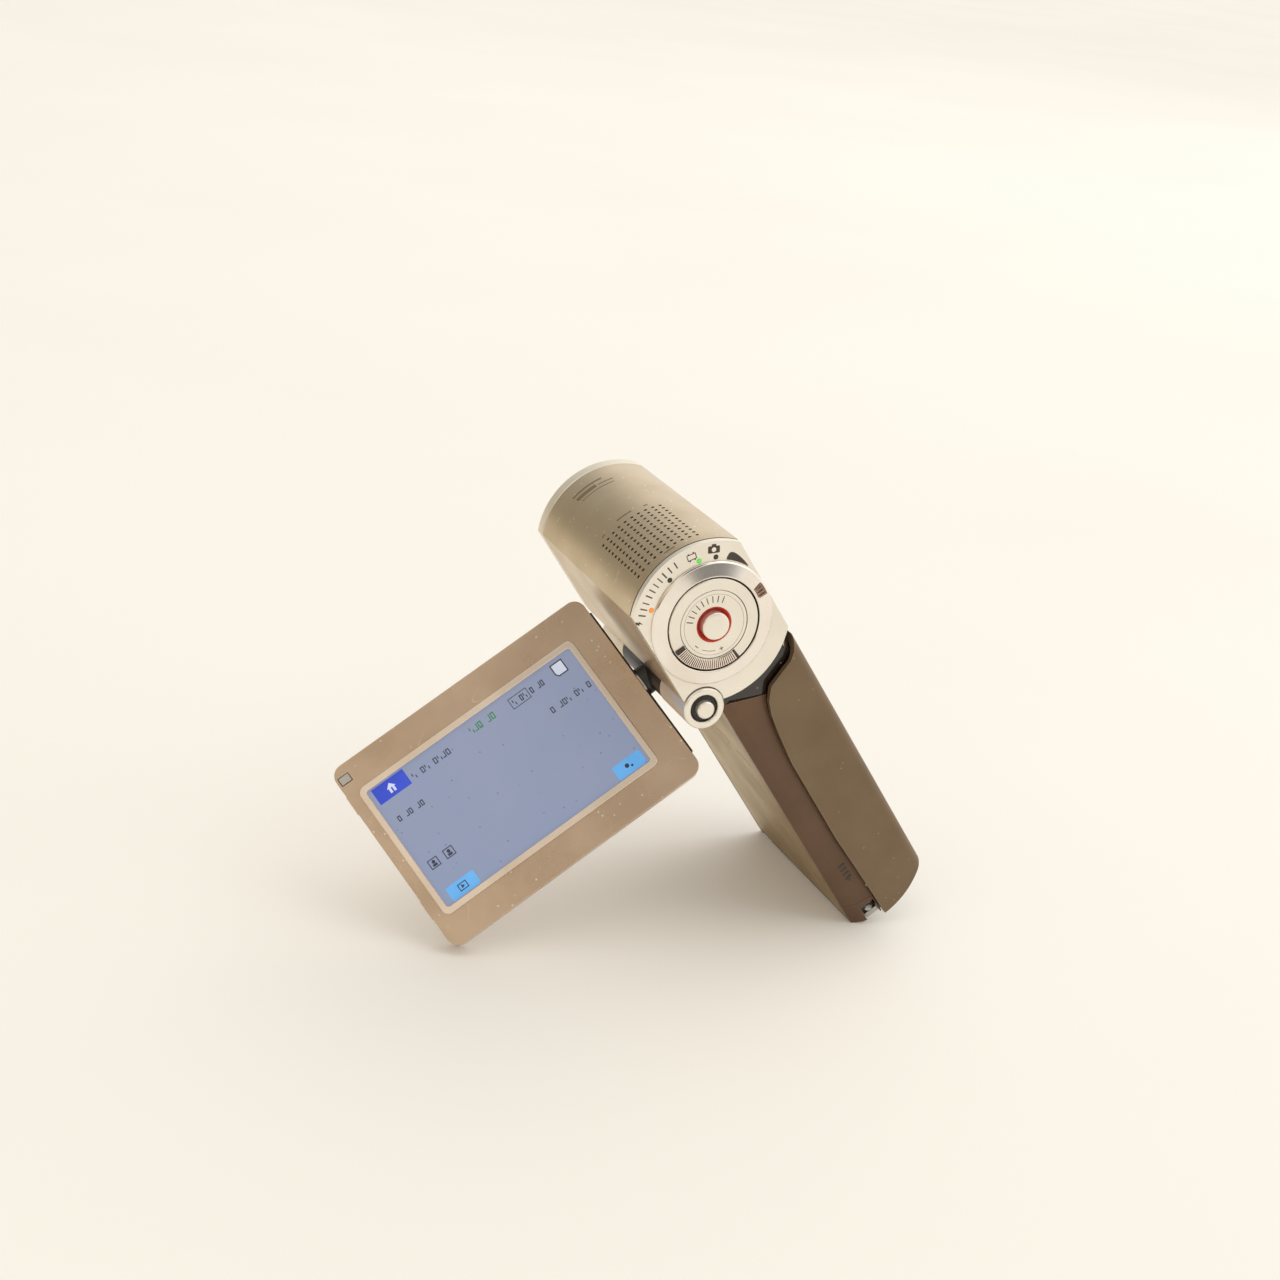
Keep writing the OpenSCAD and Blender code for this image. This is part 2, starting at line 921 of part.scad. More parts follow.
// Bright chip in the corner between neck and pad
module corner_trim() {
    color("#d8d4cd")
        intersection() {
            along_y(0.9, frame_y0 - 0.1)
                difference() {
                    translate([corner_trim_x, corner_trim_z])
                        square([1.7, 5]);
                    head_circle(head_r + 0.2);
                }
            linear_extrude(dial_z)
                grip_section(cover_wall + 0.1);
        }
}

// ---- Inside the grip --------------------------------------------------------------------
module chassis() {
    color("#9a9c9e") {
        difference() {
            intersection() {
                box(frame_x0, frame_x1, frame_y0, frame_y1, frame_z0, frame_z1);
                linear_extrude(dial_z)
                    grip_section(cover_wall + 0.2);
            }
            // Battery bay, open at the base
            box(frame_x0 + frame_wall, frame_x1 - frame_wall, frame_y0 + frame_wall,
                frame_y1 - frame_wall, frame_z0 - 1, bay_top);
            // Space for the main board
            box(frame_x0 + frame_wall, frame_x1 - frame_wall, frame_y0 + frame_wall,
                frame_y1 - frame_wall, bay_top + frame_wall, frame_z1 - frame_wall);
            // Cable way into the head
            box(-2, 9, 10, 45, frame_z1 - 4, frame_z1 + 6);
            // Side windows for the memory card's contacts and the speaker
            for (y = [8, 30])
                box(frame_x0 - 1, 0, y, y + 16, bay_top + 3, frame_z1 - 4);
            for (z = [14, 34])
                box(frame_x1 - 2, frame_x1 + 1, 10, 45, z, z + 15);
            box(1, 8, 6, 14, bay_top - 1, bay_top + 2);
        }
        // Ears that hold the pin of the base cover, webbed to the front wall
        for (side = [-1, 1])
            translate([side * (ear_x + ear_w / 2) - ear_w / 2, 0, 0])
                difference() {
                    union() {
                        rod_x(ear_r, 0, ear_w, pin_y, pin_z);
                        box(0, ear_w, pin_y - ear_r, pin_y + ear_r - 0.35, pin_z, web_z);
                        box(0, ear_w, pin_y - ear_r, frame_y1 - tiny, web_z - tiny, frame_z0 + 3);
                    }
                    rod_x(pin_r + tiny, -1, ear_w + 1, pin_y, pin_z);
                }
    }
}

module battery() {
    color("#4b4d52")
        box(-5.6, 12.3, 16.2, 46.8, 9.2, 54.2);
}

module card_slot() {
    color("#6b6e72")
        difference() {
            box(-5.6, 0.4, 3.6, 15.4, 14, 48);
            box(-4.3, -0.9, 4.6, 14.4, 13, 45);
        }
}

module memory_card() {
    color("#1e2a4a")
        box(-4, -1.2, 4.9, 14.1, 12.6, 43.6);
}

module main_board() {
    color("#2f5a3c") {
        box(5, 6, 6, 50, 56.4, 72.6);
        box(6, 7.6, 14, 26, 59, 70);
        box(6, 7.2, 30, 38, 60, 68);
        box(3.6, 5, 32, 44, 60, 70);
    }
}

module speaker() {
    color("#3a3a3d")
        rod_x(4.6, -5.7, -2.7, 38, 64);
}

module flash_window() {
    color("#e8ecef")
        along_y(frame_y1 + 0.1, grip_front - 0.05)
            flash_outline();
}

module dock_connector() {
    color("#2a2a2d")
        difference() {
            box(dock_x0, dock_x1, 9.2, 15.9, 4.6, 12.4);
            box(dock_x0 + dock_wall, dock_x1 - dock_wall, 10.8, 14, 3, 10);
        }
}

// Steel tongue for the wrist strap: a level plate with a round hole, hung from a stem
module strap_lug() {
    color("#c9c9c6")
        difference() {
            union() {
                box(lug_x0, lug_x1, 0.9, 4.2, 1, 2.4);
                box(lug_x0, lug_x1, 3.4, 4.2, 1, 12);
            }
            translate([(lug_x0 + lug_x1) / 2, 2.2, 0])
                cylinder(r = strap_hole_r, h = 3);
        }
}

// ---- Base cover -------------------------------------------------------------------------
// Curved skin of the base between x0 and x1, and y0 and y1
module base_skin(x0, x1, y0, y1) {
    intersection() {
        box(x0, x1, y0, y1, -1, 12);
        along_y(0, grip_front)
            translate([0, base_r])
                difference() {
                    circle(r = base_r);
                    circle(r = base_r - cover_t);
                }
    }
}

module base_cover() {
    color("#6a5747")
        difference() {
            union() {
                base_skin(left_face_x, cover_right_x, strip_in_y - 0.2, cover_front_y);
                base_skin(1.5, cover_right_x, 0.98, strip_in_y);
                // Rear grip block below the strip
                intersection() {
                    linear_extrude(dial_z)
                        strip_section();
                    along_y(-1, 6)
                        difference() {
                            strip_region(seam);
                            above_split(-seam / 2);
                        }
                }
                // Knuckles outside the chassis ears
                for (side = [-1, 1])
                    translate([side * (knuckle_x + ear_w / 2) - ear_w / 2, 0, 0]) {
                        rod_x(ear_r + 0.3, 0, ear_w, pin_y, pin_z);
                        box(0, ear_w, pin_y - ear_r - 0.3, pin_y + ear_r + 0.3, 1, pin_z);
                    }
            }
            rod_x(pin_r + run_gap, -pin_half - 1, pin_half + 1, pin_y, pin_z);
            // Thin lip under the left plate, cut short where the cover swings past it
            box(left_face_x - 1, left_face_x + 1.4, 3.5, 60, 2.4, 12);
            box(left_face_x - 1, left_face_x + 1.4, pin_y - 1.2, 60, -1, 12);
            // Notch for the strap lug
            box(lug_x0 - 0.3, lug_x1 + 0.3, -1, 4.6, -1, 4.6);
            // Window for the dock connector
            box(dock_x0 + 0.6, dock_x1 - 0.6, 10.2, 17, -1, 5);
        }
}

module cover_pin() {
    color("#a9abad")
        rod_x(pin_r, -pin_half, pin_half, pin_y, pin_z);
}

// ---- Output -----------------------------------------------------------------------------
stance() barrel_shell();
stance() front_cap();
stance() cap_gasket();
stance() lens_bezel();
stance() cover_guide();
stance() upper_lens_cover();
stance() lower_lens_cover();
stance() lens_barrel();
stance() front_lens();
stance() zoom_carriage();
stance() sensor_board();
stance() back_plate();
stance() mode_ring();
stance() mode_ring_clip();
stance() thumb_tab();
stance() zoom_ring();
stance() hub_disc();
stance() light_ring();
stance() start_button();
stance() dial_base();
stance() control_board();
stance() movie_light();
stance() charge_light();
stance() mode_marks();
stance() mic_board();
stance() photo_bezel();
stance() photo_button();
stance() hinge_pin();
stance() hinge_block();
stance() front_knuckle();
stance() hinge_cradle();
stance() tilt_shaft();
stance() hinge_bracket();
stance() panel_frame();
stance() screen_bezel();
stance() screen_glass();
stance() display_module();
stance() panel_back();
stance() panel_edge_strip();
stance() panel_catch();
stance() panel_screws();
stance() right_cover();
stance() rear_strip();
stance() front_strip();
stance() left_plate();
stance() neck_trim();
stance() corner_trim();
stance() chassis();
stance() battery();
stance() memory_card();
stance() card_slot();
stance() main_board();
stance() speaker();
stance() flash_window();
stance() dock_connector();
stance() strap_lug();
stance() base_cover();
stance() cover_pin();
stance() forward_side_button();
stance() rear_side_button();
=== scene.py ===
"""Looks of a slim pocket camcorder that stands propped on its open screen.

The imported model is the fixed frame. Each sub-assembly is a class that dresses its CAD nodes or
builds finer pieces over them. Sizes are in millimetres in each class's own place, and every
finished mesh is in metres in the frame's coordinates.
"""

import json
import logging
import math
from dataclasses import dataclass
from enum import Enum
from functools import partial
from typing import Sequence

import bmesh
import bpy
from mathutils import Matrix, Vector


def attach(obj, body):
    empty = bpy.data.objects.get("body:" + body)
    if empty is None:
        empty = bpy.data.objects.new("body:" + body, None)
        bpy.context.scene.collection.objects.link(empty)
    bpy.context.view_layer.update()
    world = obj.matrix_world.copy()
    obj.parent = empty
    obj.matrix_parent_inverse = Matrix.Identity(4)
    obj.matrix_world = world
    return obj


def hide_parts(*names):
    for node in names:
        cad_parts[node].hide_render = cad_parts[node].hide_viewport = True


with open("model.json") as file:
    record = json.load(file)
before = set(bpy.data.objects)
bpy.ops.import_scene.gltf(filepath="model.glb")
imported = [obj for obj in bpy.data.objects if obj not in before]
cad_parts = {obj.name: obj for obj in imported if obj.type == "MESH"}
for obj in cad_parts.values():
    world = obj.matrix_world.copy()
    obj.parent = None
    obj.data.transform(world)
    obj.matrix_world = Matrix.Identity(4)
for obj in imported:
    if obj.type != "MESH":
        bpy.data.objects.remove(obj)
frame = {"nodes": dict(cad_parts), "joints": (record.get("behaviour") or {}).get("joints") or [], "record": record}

LOG = logging.getLogger("camcorder")
MM = 0.001
Point2 = tuple[float, float]
Rgb = tuple[float, float, float]


# ---- Places ---------------------------------------------------------------------------------
@dataclass(frozen=True)
class Place:
    """A local set of axes, in which a piece is drawn in millimetres."""

    origin: Vector
    x: Vector
    y: Vector
    z: Vector

    def matrix(self) -> Matrix:
        """Matrix from local millimetres to the frame's metres."""
        turn = Matrix((self.x, self.y, self.z)).transposed().to_4x4()
        return Matrix.Translation(self.origin) @ turn @ Matrix.Scale(MM, 4)

    def at(self, x: float, y: float, z: float) -> Vector:
        """Point in the frame, in metres, of a local point in millimetres."""
        return self.matrix() @ Vector((x, y, z))


class Places:
    """The upright body's axes, the dial's and the screen panel's, read from the record's joints."""

    DIAL_HEIGHT = 98.5
    HINGE = (-11.8, 81.2)
    SCREEN_LEAN = 37.9

    def __init__(self) -> None:
        """Reads the axes from joints whose directions follow the body."""
        joints = {joint["name"]: joint for joint in frame["joints"]}
        right = Vector(joints["forward_key_press"]["axis"]).normalized()
        ahead = -Vector(joints["mode_turn"]["axis"]).normalized()
        up = right.cross(ahead)
        dial = Vector(joints["mode_turn"]["pos_m"])
        base = dial - up * self.DIAL_HEIGHT * MM
        self.body = Place(base, right, ahead, up)
        self.dial = Place(dial, right, up, -ahead)
        self.hinge = Place(self.body.at(self.HINGE[0], 0, self.HINGE[1]), right, up, -ahead)
        lean = math.radians(90 - self.SCREEN_LEAN)
        down = -ahead * math.cos(lean) - up * math.sin(lean)
        out = -ahead * math.sin(lean) + up * math.cos(lean)
        self.panel = Place(Vector(joints["screen_tilt"]["pos_m"]), -right, down, out)


# ---- Node tools -----------------------------------------------------------------------------
def feed(tree: bpy.types.NodeTree, socket: object, value: object) -> None:
    """Links an output socket into an input socket, or sets the input to a plain value.

    Args:
        tree: tree that holds the sockets.
        socket: input socket.
        value: output socket, number or colour.
    """
    if isinstance(value, (int, float, tuple)):
        socket.default_value = value
    else:
        tree.links.new(value, socket)


def math_node(tree: bpy.types.NodeTree, kind: str, a: object, b: object = 0.5) -> object:
    """Adds a Math node.

    Args:
        tree: tree to add it to.
        kind: operation.
        a: first input, a socket or a number.
        b: second input, a socket or a number.

    Returns:
        The output socket.
    """
    node = tree.nodes.new("ShaderNodeMath")
    node.operation = kind
    for slot, value in enumerate((a, b)):
        feed(tree, node.inputs[slot], value)
    return node.outputs[0]


# ---- Shader node groups ---------------------------------------------------------------------
class Effect(Enum):
    """Surface effects that are shared by several finishes."""

    GRAIN = "surface_grain"
    SPECKS = "dust_specks"
    HAIRLINES = "hairline_scratches"
    WEAR = "edge_wear"


class EffectLibrary:
    """Builds each shared shader group once."""

    def __init__(self) -> None:
        """Starts with no groups."""
        self.made: dict[Effect, bpy.types.NodeTree] = {}

    def get(self, effect: Effect) -> bpy.types.NodeTree:
        """Gives the group of an effect, and builds it at first use.

        Args:
            effect: which group.

        Returns:
            The shader node group.
        """
        if effect not in self.made:
            build = {
                Effect.GRAIN: self._grain,
                Effect.SPECKS: self._specks,
                Effect.HAIRLINES: self._hairlines,
                Effect.WEAR: self._wear,
            }[effect]
            self.made[effect] = build(effect.value)
        return self.made[effect]

    @staticmethod
    def _start(name: str, inputs: dict[str, float], outputs: Sequence[str]) -> tuple:
        """Makes an empty group with a vector input, float inputs and float outputs."""
        tree = bpy.data.node_groups.new(name, "ShaderNodeTree")
        tree.interface.new_socket("Vector", in_out="INPUT", socket_type="NodeSocketVector")
        for label, value in inputs.items():
            made = tree.interface.new_socket(label, in_out="INPUT", socket_type="NodeSocketFloat")
            made.default_value = value
        for label in outputs:
            tree.interface.new_socket(label, in_out="OUTPUT", socket_type="NodeSocketFloat")
        return tree, tree.nodes.new("NodeGroupInput"), tree.nodes.new("NodeGroupOutput")

    @staticmethod
    def _noise(tree: bpy.types.NodeTree, vector: object, scale: object, detail: float) -> object:
        """Adds a Noise texture whose scale is a socket or a number, and gives its value socket."""
        node = tree.nodes.new("ShaderNodeTexNoise")
        node.inputs["Detail"].default_value = detail
        tree.links.new(vector, node.inputs["Vector"])
        feed(tree, node.inputs["Scale"], scale)
        return node.outputs["Fac"]

    def _grain(self, name: str) -> bpy.types.NodeTree:
        """Fine grain height, and a slow tone that drifts over the surface."""
        tree, inp, out = self._start(name, {"Grain Scale": 4000, "Tone Scale": 60},
                                     ["Height", "Tone"])
        fine = self._noise(tree, inp.outputs["Vector"], inp.outputs["Grain Scale"], 3)
        slow = self._noise(tree, inp.outputs["Vector"], inp.outputs["Tone Scale"], 4)
        spread = tree.nodes.new("ShaderNodeMapRange")
        spread.inputs["From Min"].default_value = 0.35
        spread.inputs["From Max"].default_value = 0.65
        tree.links.new(slow, spread.inputs["Value"])
        tree.links.new(fine, out.inputs["Height"])
        tree.links.new(spread.outputs[0], out.inputs["Tone"])
        return tree

    def _specks(self, name: str) -> bpy.types.NodeTree:
        """Sparse round dust specks."""
        tree, inp, out = self._start(name, {"Scale": 400, "Size": 0.12, "Share": 0.1}, ["Mask"])
        cells = tree.nodes.new("ShaderNodeTexVoronoi")
        tree.links.new(inp.outputs["Vector"], cells.inputs["Vector"])
        tree.links.new(inp.outputs["Scale"], cells.inputs["Scale"])
        draw = tree.nodes.new("ShaderNodeTexWhiteNoise")
        draw.noise_dimensions = "3D"
        tree.links.new(cells.outputs["Color"], draw.inputs["Vector"])
        near = math_node(tree, "LESS_THAN", cells.outputs["Distance"], inp.outputs["Size"])
        chosen = math_node(tree, "LESS_THAN", draw.outputs["Value"], inp.outputs["Share"])
        tree.links.new(math_node(tree, "MULTIPLY", near, chosen), out.inputs["Mask"])
        return tree

    def _hairlines(self, name: str) -> bpy.types.NodeTree:
        """Short thin scratches along the level lines of a stretched noise."""
        tree, inp, out = self._start(name, {"Scale": 90, "Width": 0.004}, ["Mask"])
        stretch = tree.nodes.new("ShaderNodeMapping")
        stretch.inputs["Scale"].default_value = (1.0, 2.2, 0.35)
        stretch.inputs["Rotation"].default_value = (0.5, 0.9, 0.3)
        tree.links.new(inp.outputs["Vector"], stretch.inputs["Vector"])
        lines = self._noise(tree, stretch.outputs[0], inp.outputs["Scale"], 1)
        patch = self._noise(tree, inp.outputs["Vector"], 140, 2)
        offset = math_node(tree, "ABSOLUTE", math_node(tree, "SUBTRACT", lines, 0.5))
        thin = math_node(tree, "LESS_THAN", offset, inp.outputs["Width"])
        kept = math_node(tree, "GREATER_THAN", patch, 0.6)
        tree.links.new(math_node(tree, "MULTIPLY", thin, kept), out.inputs["Mask"])
        return tree

    def _wear(self, name: str) -> bpy.types.NodeTree:
        """A broken line of wear along outer edges."""
        tree, inp, out = self._start(name, {"Width": 0.0004, "Break Up": 900}, ["Mask"])
        soft = tree.nodes.new("ShaderNodeBevel")
        soft.samples = 4
        tree.links.new(inp.outputs["Width"], soft.inputs["Radius"])
        plain = tree.nodes.new("ShaderNodeNewGeometry")
        dot = tree.nodes.new("ShaderNodeVectorMath")
        dot.operation = "DOT_PRODUCT"
        tree.links.new(soft.outputs[0], dot.inputs[0])
        tree.links.new(plain.outputs["Normal"], dot.inputs[1])
        bend = math_node(tree, "SUBTRACT", 1.0, dot.outputs["Value"])
        strong = math_node(tree, "MULTIPLY", bend, 9.0)
        noise = self._noise(tree, inp.outputs["Vector"], inp.outputs["Break Up"], 3)
        both = math_node(tree, "MULTIPLY", strong, noise)
        clip = tree.nodes.new("ShaderNodeClamp")
        tree.links.new(both, clip.inputs["Value"])
        tree.links.new(clip.outputs[0], out.inputs["Mask"])
        return tree


EFFECTS = EffectLibrary()


def linear(colour: Rgb) -> tuple[float, float, float, float]:
    """Turns an sRGB colour of 0 to 255 into the linear colour that a shader takes."""

    def channel(value: float) -> float:
        share = value / 255
        return share / 12.92 if share <= 0.04045 else ((share + 0.055) / 1.055) ** 2.4

    return (*[channel(value) for value in colour], 1.0)


@dataclass(frozen=True)
class Finish:
    """A surface finish and all that varies over it."""

    name: str
    colour: Rgb
    tone: Rgb
    metallic: float = 0.0
    roughness: float = 0.4
    rough_spread: float = 0.08
    grain: float = 4000.0
    bump: float = 0.08
    tone_scale: float = 60.0
    coat: float = 0.0
    specks: float = 0.0
    speck_colour: Rgb = (250, 246, 236)
    hairlines: float = 0.0
    wear: float = 0.0
    wear_colour: Rgb = (235, 228, 215)
    glow: float = 0.0
    gloss: float = 0.5
    transmission: float = 0.0

    def material(self) -> bpy.types.Material:
        """Builds the material once and gives it.

        Returns:
            The finished material.
        """
        label = f"{self.name}_surface"
        found = bpy.data.materials.get(label)
        if found:
            return found
        made = bpy.data.materials.new(label)
        made.use_nodes = True
        made.diffuse_color = linear(self.colour)
        tree = made.node_tree
        shader = tree.nodes["Principled BSDF"]
        where = tree.nodes.new("ShaderNodeTexCoord").outputs["Object"]
        shader.inputs["Metallic"].default_value = self.metallic
        shader.inputs["Specular IOR Level"].default_value = self.gloss
        shader.inputs["Coat Weight"].default_value = self.coat
        shader.inputs["Coat Roughness"].default_value = 0.12
        shader.inputs["Transmission Weight"].default_value = self.transmission
        grain = self._effect(tree, Effect.GRAIN, where)
        grain.inputs["Grain Scale"].default_value = self.grain
        grain.inputs["Tone Scale"].default_value = self.tone_scale
        colour = self._mix(tree, grain.outputs["Tone"], linear(self.colour), linear(self.tone))
        for effect, amount, over, settings in (
            (Effect.HAIRLINES, self.hairlines, self.wear_colour, {}),
            (Effect.SPECKS, self.specks, self.speck_colour,
             {"Share": 0.14, "Size": 0.17, "Scale": 800}),
            (Effect.WEAR, self.wear, self.wear_colour, {}),
        ):
            if amount:
                group = self._effect(tree, effect, where)
                for label, value in settings.items():
                    group.inputs[label].default_value = value
                strength = tree.nodes.new("ShaderNodeMath")
                strength.operation = "MULTIPLY"
                strength.inputs[1].default_value = amount
                tree.links.new(group.outputs["Mask"], strength.inputs[0])
                colour = self._mix(tree, strength.outputs[0], colour, linear(over))
        tree.links.new(colour, shader.inputs["Base Color"])
        rough = tree.nodes.new("ShaderNodeMapRange")
        rough.inputs["To Min"].default_value = self.roughness - self.rough_spread / 2
        rough.inputs["To Max"].default_value = self.roughness + self.rough_spread / 2
        tree.links.new(grain.outputs["Tone"], rough.inputs["Value"])
        tree.links.new(rough.outputs[0], shader.inputs["Roughness"])
        if self.bump:
            bump = tree.nodes.new("ShaderNodeBump")
            bump.inputs["Strength"].default_value = self.bump
            bump.inputs["Distance"].default_value = 0.00006
            tree.links.new(grain.outputs["Height"], bump.inputs["Height"])
            tree.links.new(bump.outputs[0], shader.inputs["Normal"])
        if self.glow:
            tree.links.new(colour, shader.inputs["Emission Color"])
            shader.inputs["Emission Strength"].default_value = self.glow
        return made

    @staticmethod
    def _effect(tree: bpy.types.NodeTree, effect: Effect, where: object) -> bpy.types.Node:
        """Places a shared effect group and feeds it the coordinates."""
        node = tree.nodes.new("ShaderNodeGroup")
        node.node_tree = EFFECTS.get(effect)
        tree.links.new(where, node.inputs["Vector"])
        return node

    @staticmethod
    def _mix(tree: bpy.types.NodeTree, share: object, low: object, high: object) -> object:
        """Mixes two colours, each a socket or a value, by a share socket."""
        node = tree.nodes.new("ShaderNodeMix")
        node.data_type = "RGBA"
        tree.links.new(share, node.inputs[0])
        for socket, value in ((node.inputs[6], low), (node.inputs[7], high)):
            feed(tree, socket, value)
        return node.outputs[2]


FINISHES: dict[str, Finish] = {
    finish.name: finish
    for finish in (
        Finish("barrel_metal", (210, 192, 162), (200, 181, 150), metallic=0.94, roughness=0.34,
               grain=7000, bump=0.12, specks=0.7, hairlines=0.3, wear=0.5),
        Finish("cap_cream", (238, 230, 212), (228, 218, 198), metallic=0.5, roughness=0.36, grain=6000,
               wear=0.2),
        Finish("plate_cream", (246, 240, 228), (238, 231, 218), metallic=0.75, roughness=0.3,
               grain=9000, bump=0.06, hairlines=0.25, wear=0.4, wear_colour=(250, 246, 238)),
        Finish("ring_metal", (248, 242, 234), (236, 227, 217), metallic=1.0, roughness=0.1,
               rough_spread=0.06, grain=9000, bump=0.02, hairlines=0.3),
        Finish("black_plastic", (24, 22, 22), (34, 31, 30), roughness=0.35, wear=0.2,
               wear_colour=(90, 84, 78)),
        Finish("optic_glass", (62, 70, 124), (104, 66, 132), metallic=0.7, roughness=0.04,
               rough_spread=0.02, bump=0.0, tone_scale=90, coat=1.0, specks=0.15),
        Finish("board", (38, 92, 60), (30, 74, 48), roughness=0.45, grain=1500, bump=0.3),
        Finish("steel", (196, 193, 188), (168, 165, 160), metallic=1.0, roughness=0.28, hairlines=0.4),
        Finish("tab_brown", (148, 108, 84), (122, 86, 66), metallic=0.8, roughness=0.3, wear=0.6),
        Finish("red_light", (192, 44, 16), (150, 26, 10), roughness=0.25, coat=0.5, glow=0.25),
        Finish("green_light", (52, 178, 44), (84, 204, 66), roughness=0.2, glow=0.6, coat=0.3),
        Finish("amber_light", (232, 132, 40), (244, 158, 64), roughness=0.2, glow=0.5, coat=0.3),
        Finish("dark_mark", (78, 66, 56), (60, 50, 42), roughness=0.5, bump=0.02),
        Finish("panel_bronze", (204, 180, 156), (190, 165, 141), metallic=0.85, roughness=0.25,
               grain=9000, bump=0.1, specks=0.6, hairlines=0.4, wear=0.6, wear_colour=(236, 216, 190)),
        Finish("bezel_bright", (232, 216, 200), (222, 205, 188), metallic=0.95, roughness=0.18,
               hairlines=0.3, wear=0.3),
        Finish("screen_glass", (112, 122, 147), (118, 124, 146), roughness=0.22, rough_spread=0.05,
               bump=0.0, tone_scale=24, glow=0.85, specks=0.5, speck_colour=(66, 70, 88),
               gloss=0.4),
        Finish("grip_taupe", (125, 104, 79), (117, 96, 72), metallic=0.35, roughness=0.44, grain=8000,
               bump=0.14, specks=0.12, wear=0.35, wear_colour=(176, 158, 136)),
        Finish("strip_dark", (106, 79, 58), (96, 71, 53), metallic=0.35, roughness=0.34, grain=8000,
               bump=0.08, wear=0.4, wear_colour=(160, 138, 114)),
        Finish("plate_gold", (176, 152, 108), (160, 136, 92), metallic=0.88, roughness=0.4, grain=6000,
               bump=0.1, hairlines=0.4, wear=0.4),
        # Neck: glossy dark plastic, made nearly black so that it also carries painted shade of the recess under
        # the head.
        Finish("neck_dark", (34, 22, 17), (24, 16, 13), roughness=0.16, coat=0.6, specks=0.2, bump=0.03),
        Finish("battery_grey", (70, 72, 78), (60, 62, 68), roughness=0.5, bump=0.2),
        Finish("card_blue", (30, 42, 78), (24, 34, 64), roughness=0.4),
        Finish("clear_window", (226, 230, 232), (214, 218, 222), roughness=0.06, bump=0.0,
               transmission=0.6, coat=0.5),
        Finish("print_brown", (96, 80, 66), (80, 66, 54), roughness=0.5, bump=0.02),
        Finish("print_barrel", (138, 118, 92), (124, 104, 80), metallic=0.3, roughness=0.5),
        Finish("picture_ink", (44, 50, 70), (58, 64, 86), roughness=0.15, glow=0.1, bump=0.0),
        Finish("picture_white", (206, 214, 236), (190, 198, 224), roughness=0.15, glow=0.35, bump=0.0),
        Finish("picture_green", (22, 118, 62), (30, 140, 76), roughness=0.15, glow=0.3, bump=0.0),
        Finish("picture_navy", (38, 62, 190), (50, 80, 206), roughness=0.15, glow=0.35, bump=0.0),
        Finish("picture_sky", (84, 158, 226), (104, 176, 236), roughness=0.15, glow=0.4, bump=0.0),
    )
}


# ---- Mesh tools -----------------------------------------------------------------------------
BODY_OF: dict[str, str] = {
    node: body for body, nodes in frame["record"]["behaviour"]["bodies"].items() for node in nodes
}
SLOT_OF: dict[str, str] = {
    part["node"]: part["material_slot"] for part in frame["record"]["subparts"]
}


def finished(piece: bpy.types.Object, body: str, finish: str,
             nodes: Sequence[str] = ()) -> bpy.types.Object:
    """Gives a piece its material, body and the nodes it stands for, and logs it.

    Args:
        piece: mesh object at the origin.
        body: CAD body it moves with.
        finish: key of FINISHES.
        nodes: CAD nodes that it replaces.

    Returns:
        The same piece.
    """
    piece.data.materials.clear()
    piece.data.materials.append(FINISHES[finish].material())
    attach(piece, body)
    if nodes:
        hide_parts(*nodes)
    LOG.info("%s rides on %s, %d faces", piece.name, body, len(piece.data.polygons))
    return piece


def object_from(name: str, verts: Sequence[Vector], faces: Sequence[Sequence[int]],
                merge: bool = True) -> bpy.types.Object:
    """Makes a linked mesh object from points and faces, facing outwards.

    Args:
        name: object name.
        verts: points.
        faces: corners of each face.
        merge: whether points in one place become one.

    Returns:
        The new object.
    """
    mesh = bpy.data.meshes.new(name)
    mesh.from_pydata([tuple(v) for v in verts], [], [tuple(f) for f in faces])
    shape = bmesh.new()
    shape.from_mesh(mesh)
    if merge:
        bmesh.ops.remove_doubles(shape, verts=shape.verts, dist=1e-7)
    bmesh.ops.recalc_face_normals(shape, faces=shape.faces)
    shape.to_mesh(mesh)
    shape.free()
    made = bpy.data.objects.new(name, mesh)
    bpy.context.scene.collection.objects.link(made)
    return made


def applied(piece: bpy.types.Object) -> bpy.types.Object:
    """Replaces a piece's mesh by its evaluated one and removes its modifiers."""
    bpy.context.view_layer.update()
    graph = bpy.context.evaluated_depsgraph_get()
    mesh = bpy.data.meshes.new_from_object(piece.evaluated_get(graph))
    old = piece.data
    piece.modifiers.clear()
    piece.data = mesh
    bpy.data.meshes.remove(old)
    return piece


def softened(piece: bpy.types.Object, width_mm: float, segments: int = 2,
             angle: float = 30.0) -> bpy.types.Object:
    """Rounds a piece's hard edges and evens its shading.

    Args:
        piece: closed mesh object.
        width_mm: bevel width.
        segments: bevel segments.
        angle: edges sharper than this are rounded, in degrees.

    Returns:
        The piece, with its modifiers applied.
    """
    for face in piece.data.polygons:
        face.use_smooth = True
    limit = math.radians(angle)
    if width_mm:
        bevel = piece.modifiers.new("bevel", "BEVEL")
        bevel.width = width_mm * MM
        bevel.segments = segments
        bevel.limit_method = "ANGLE"
        bevel.angle_limit = limit
        bevel.harden_normals = True
    else:
        shape = bmesh.new()
        shape.from_mesh(piece.data)
        for edge in shape.edges:
            edge.smooth = len(edge.link_faces) == 2 and edge.calc_face_angle(0) < limit
        shape.to_mesh(piece.data)
        shape.free()
    even = piece.modifiers.new("even_shading", "WEIGHTED_NORMAL")
    even.keep_sharp = True
    return applied(piece)


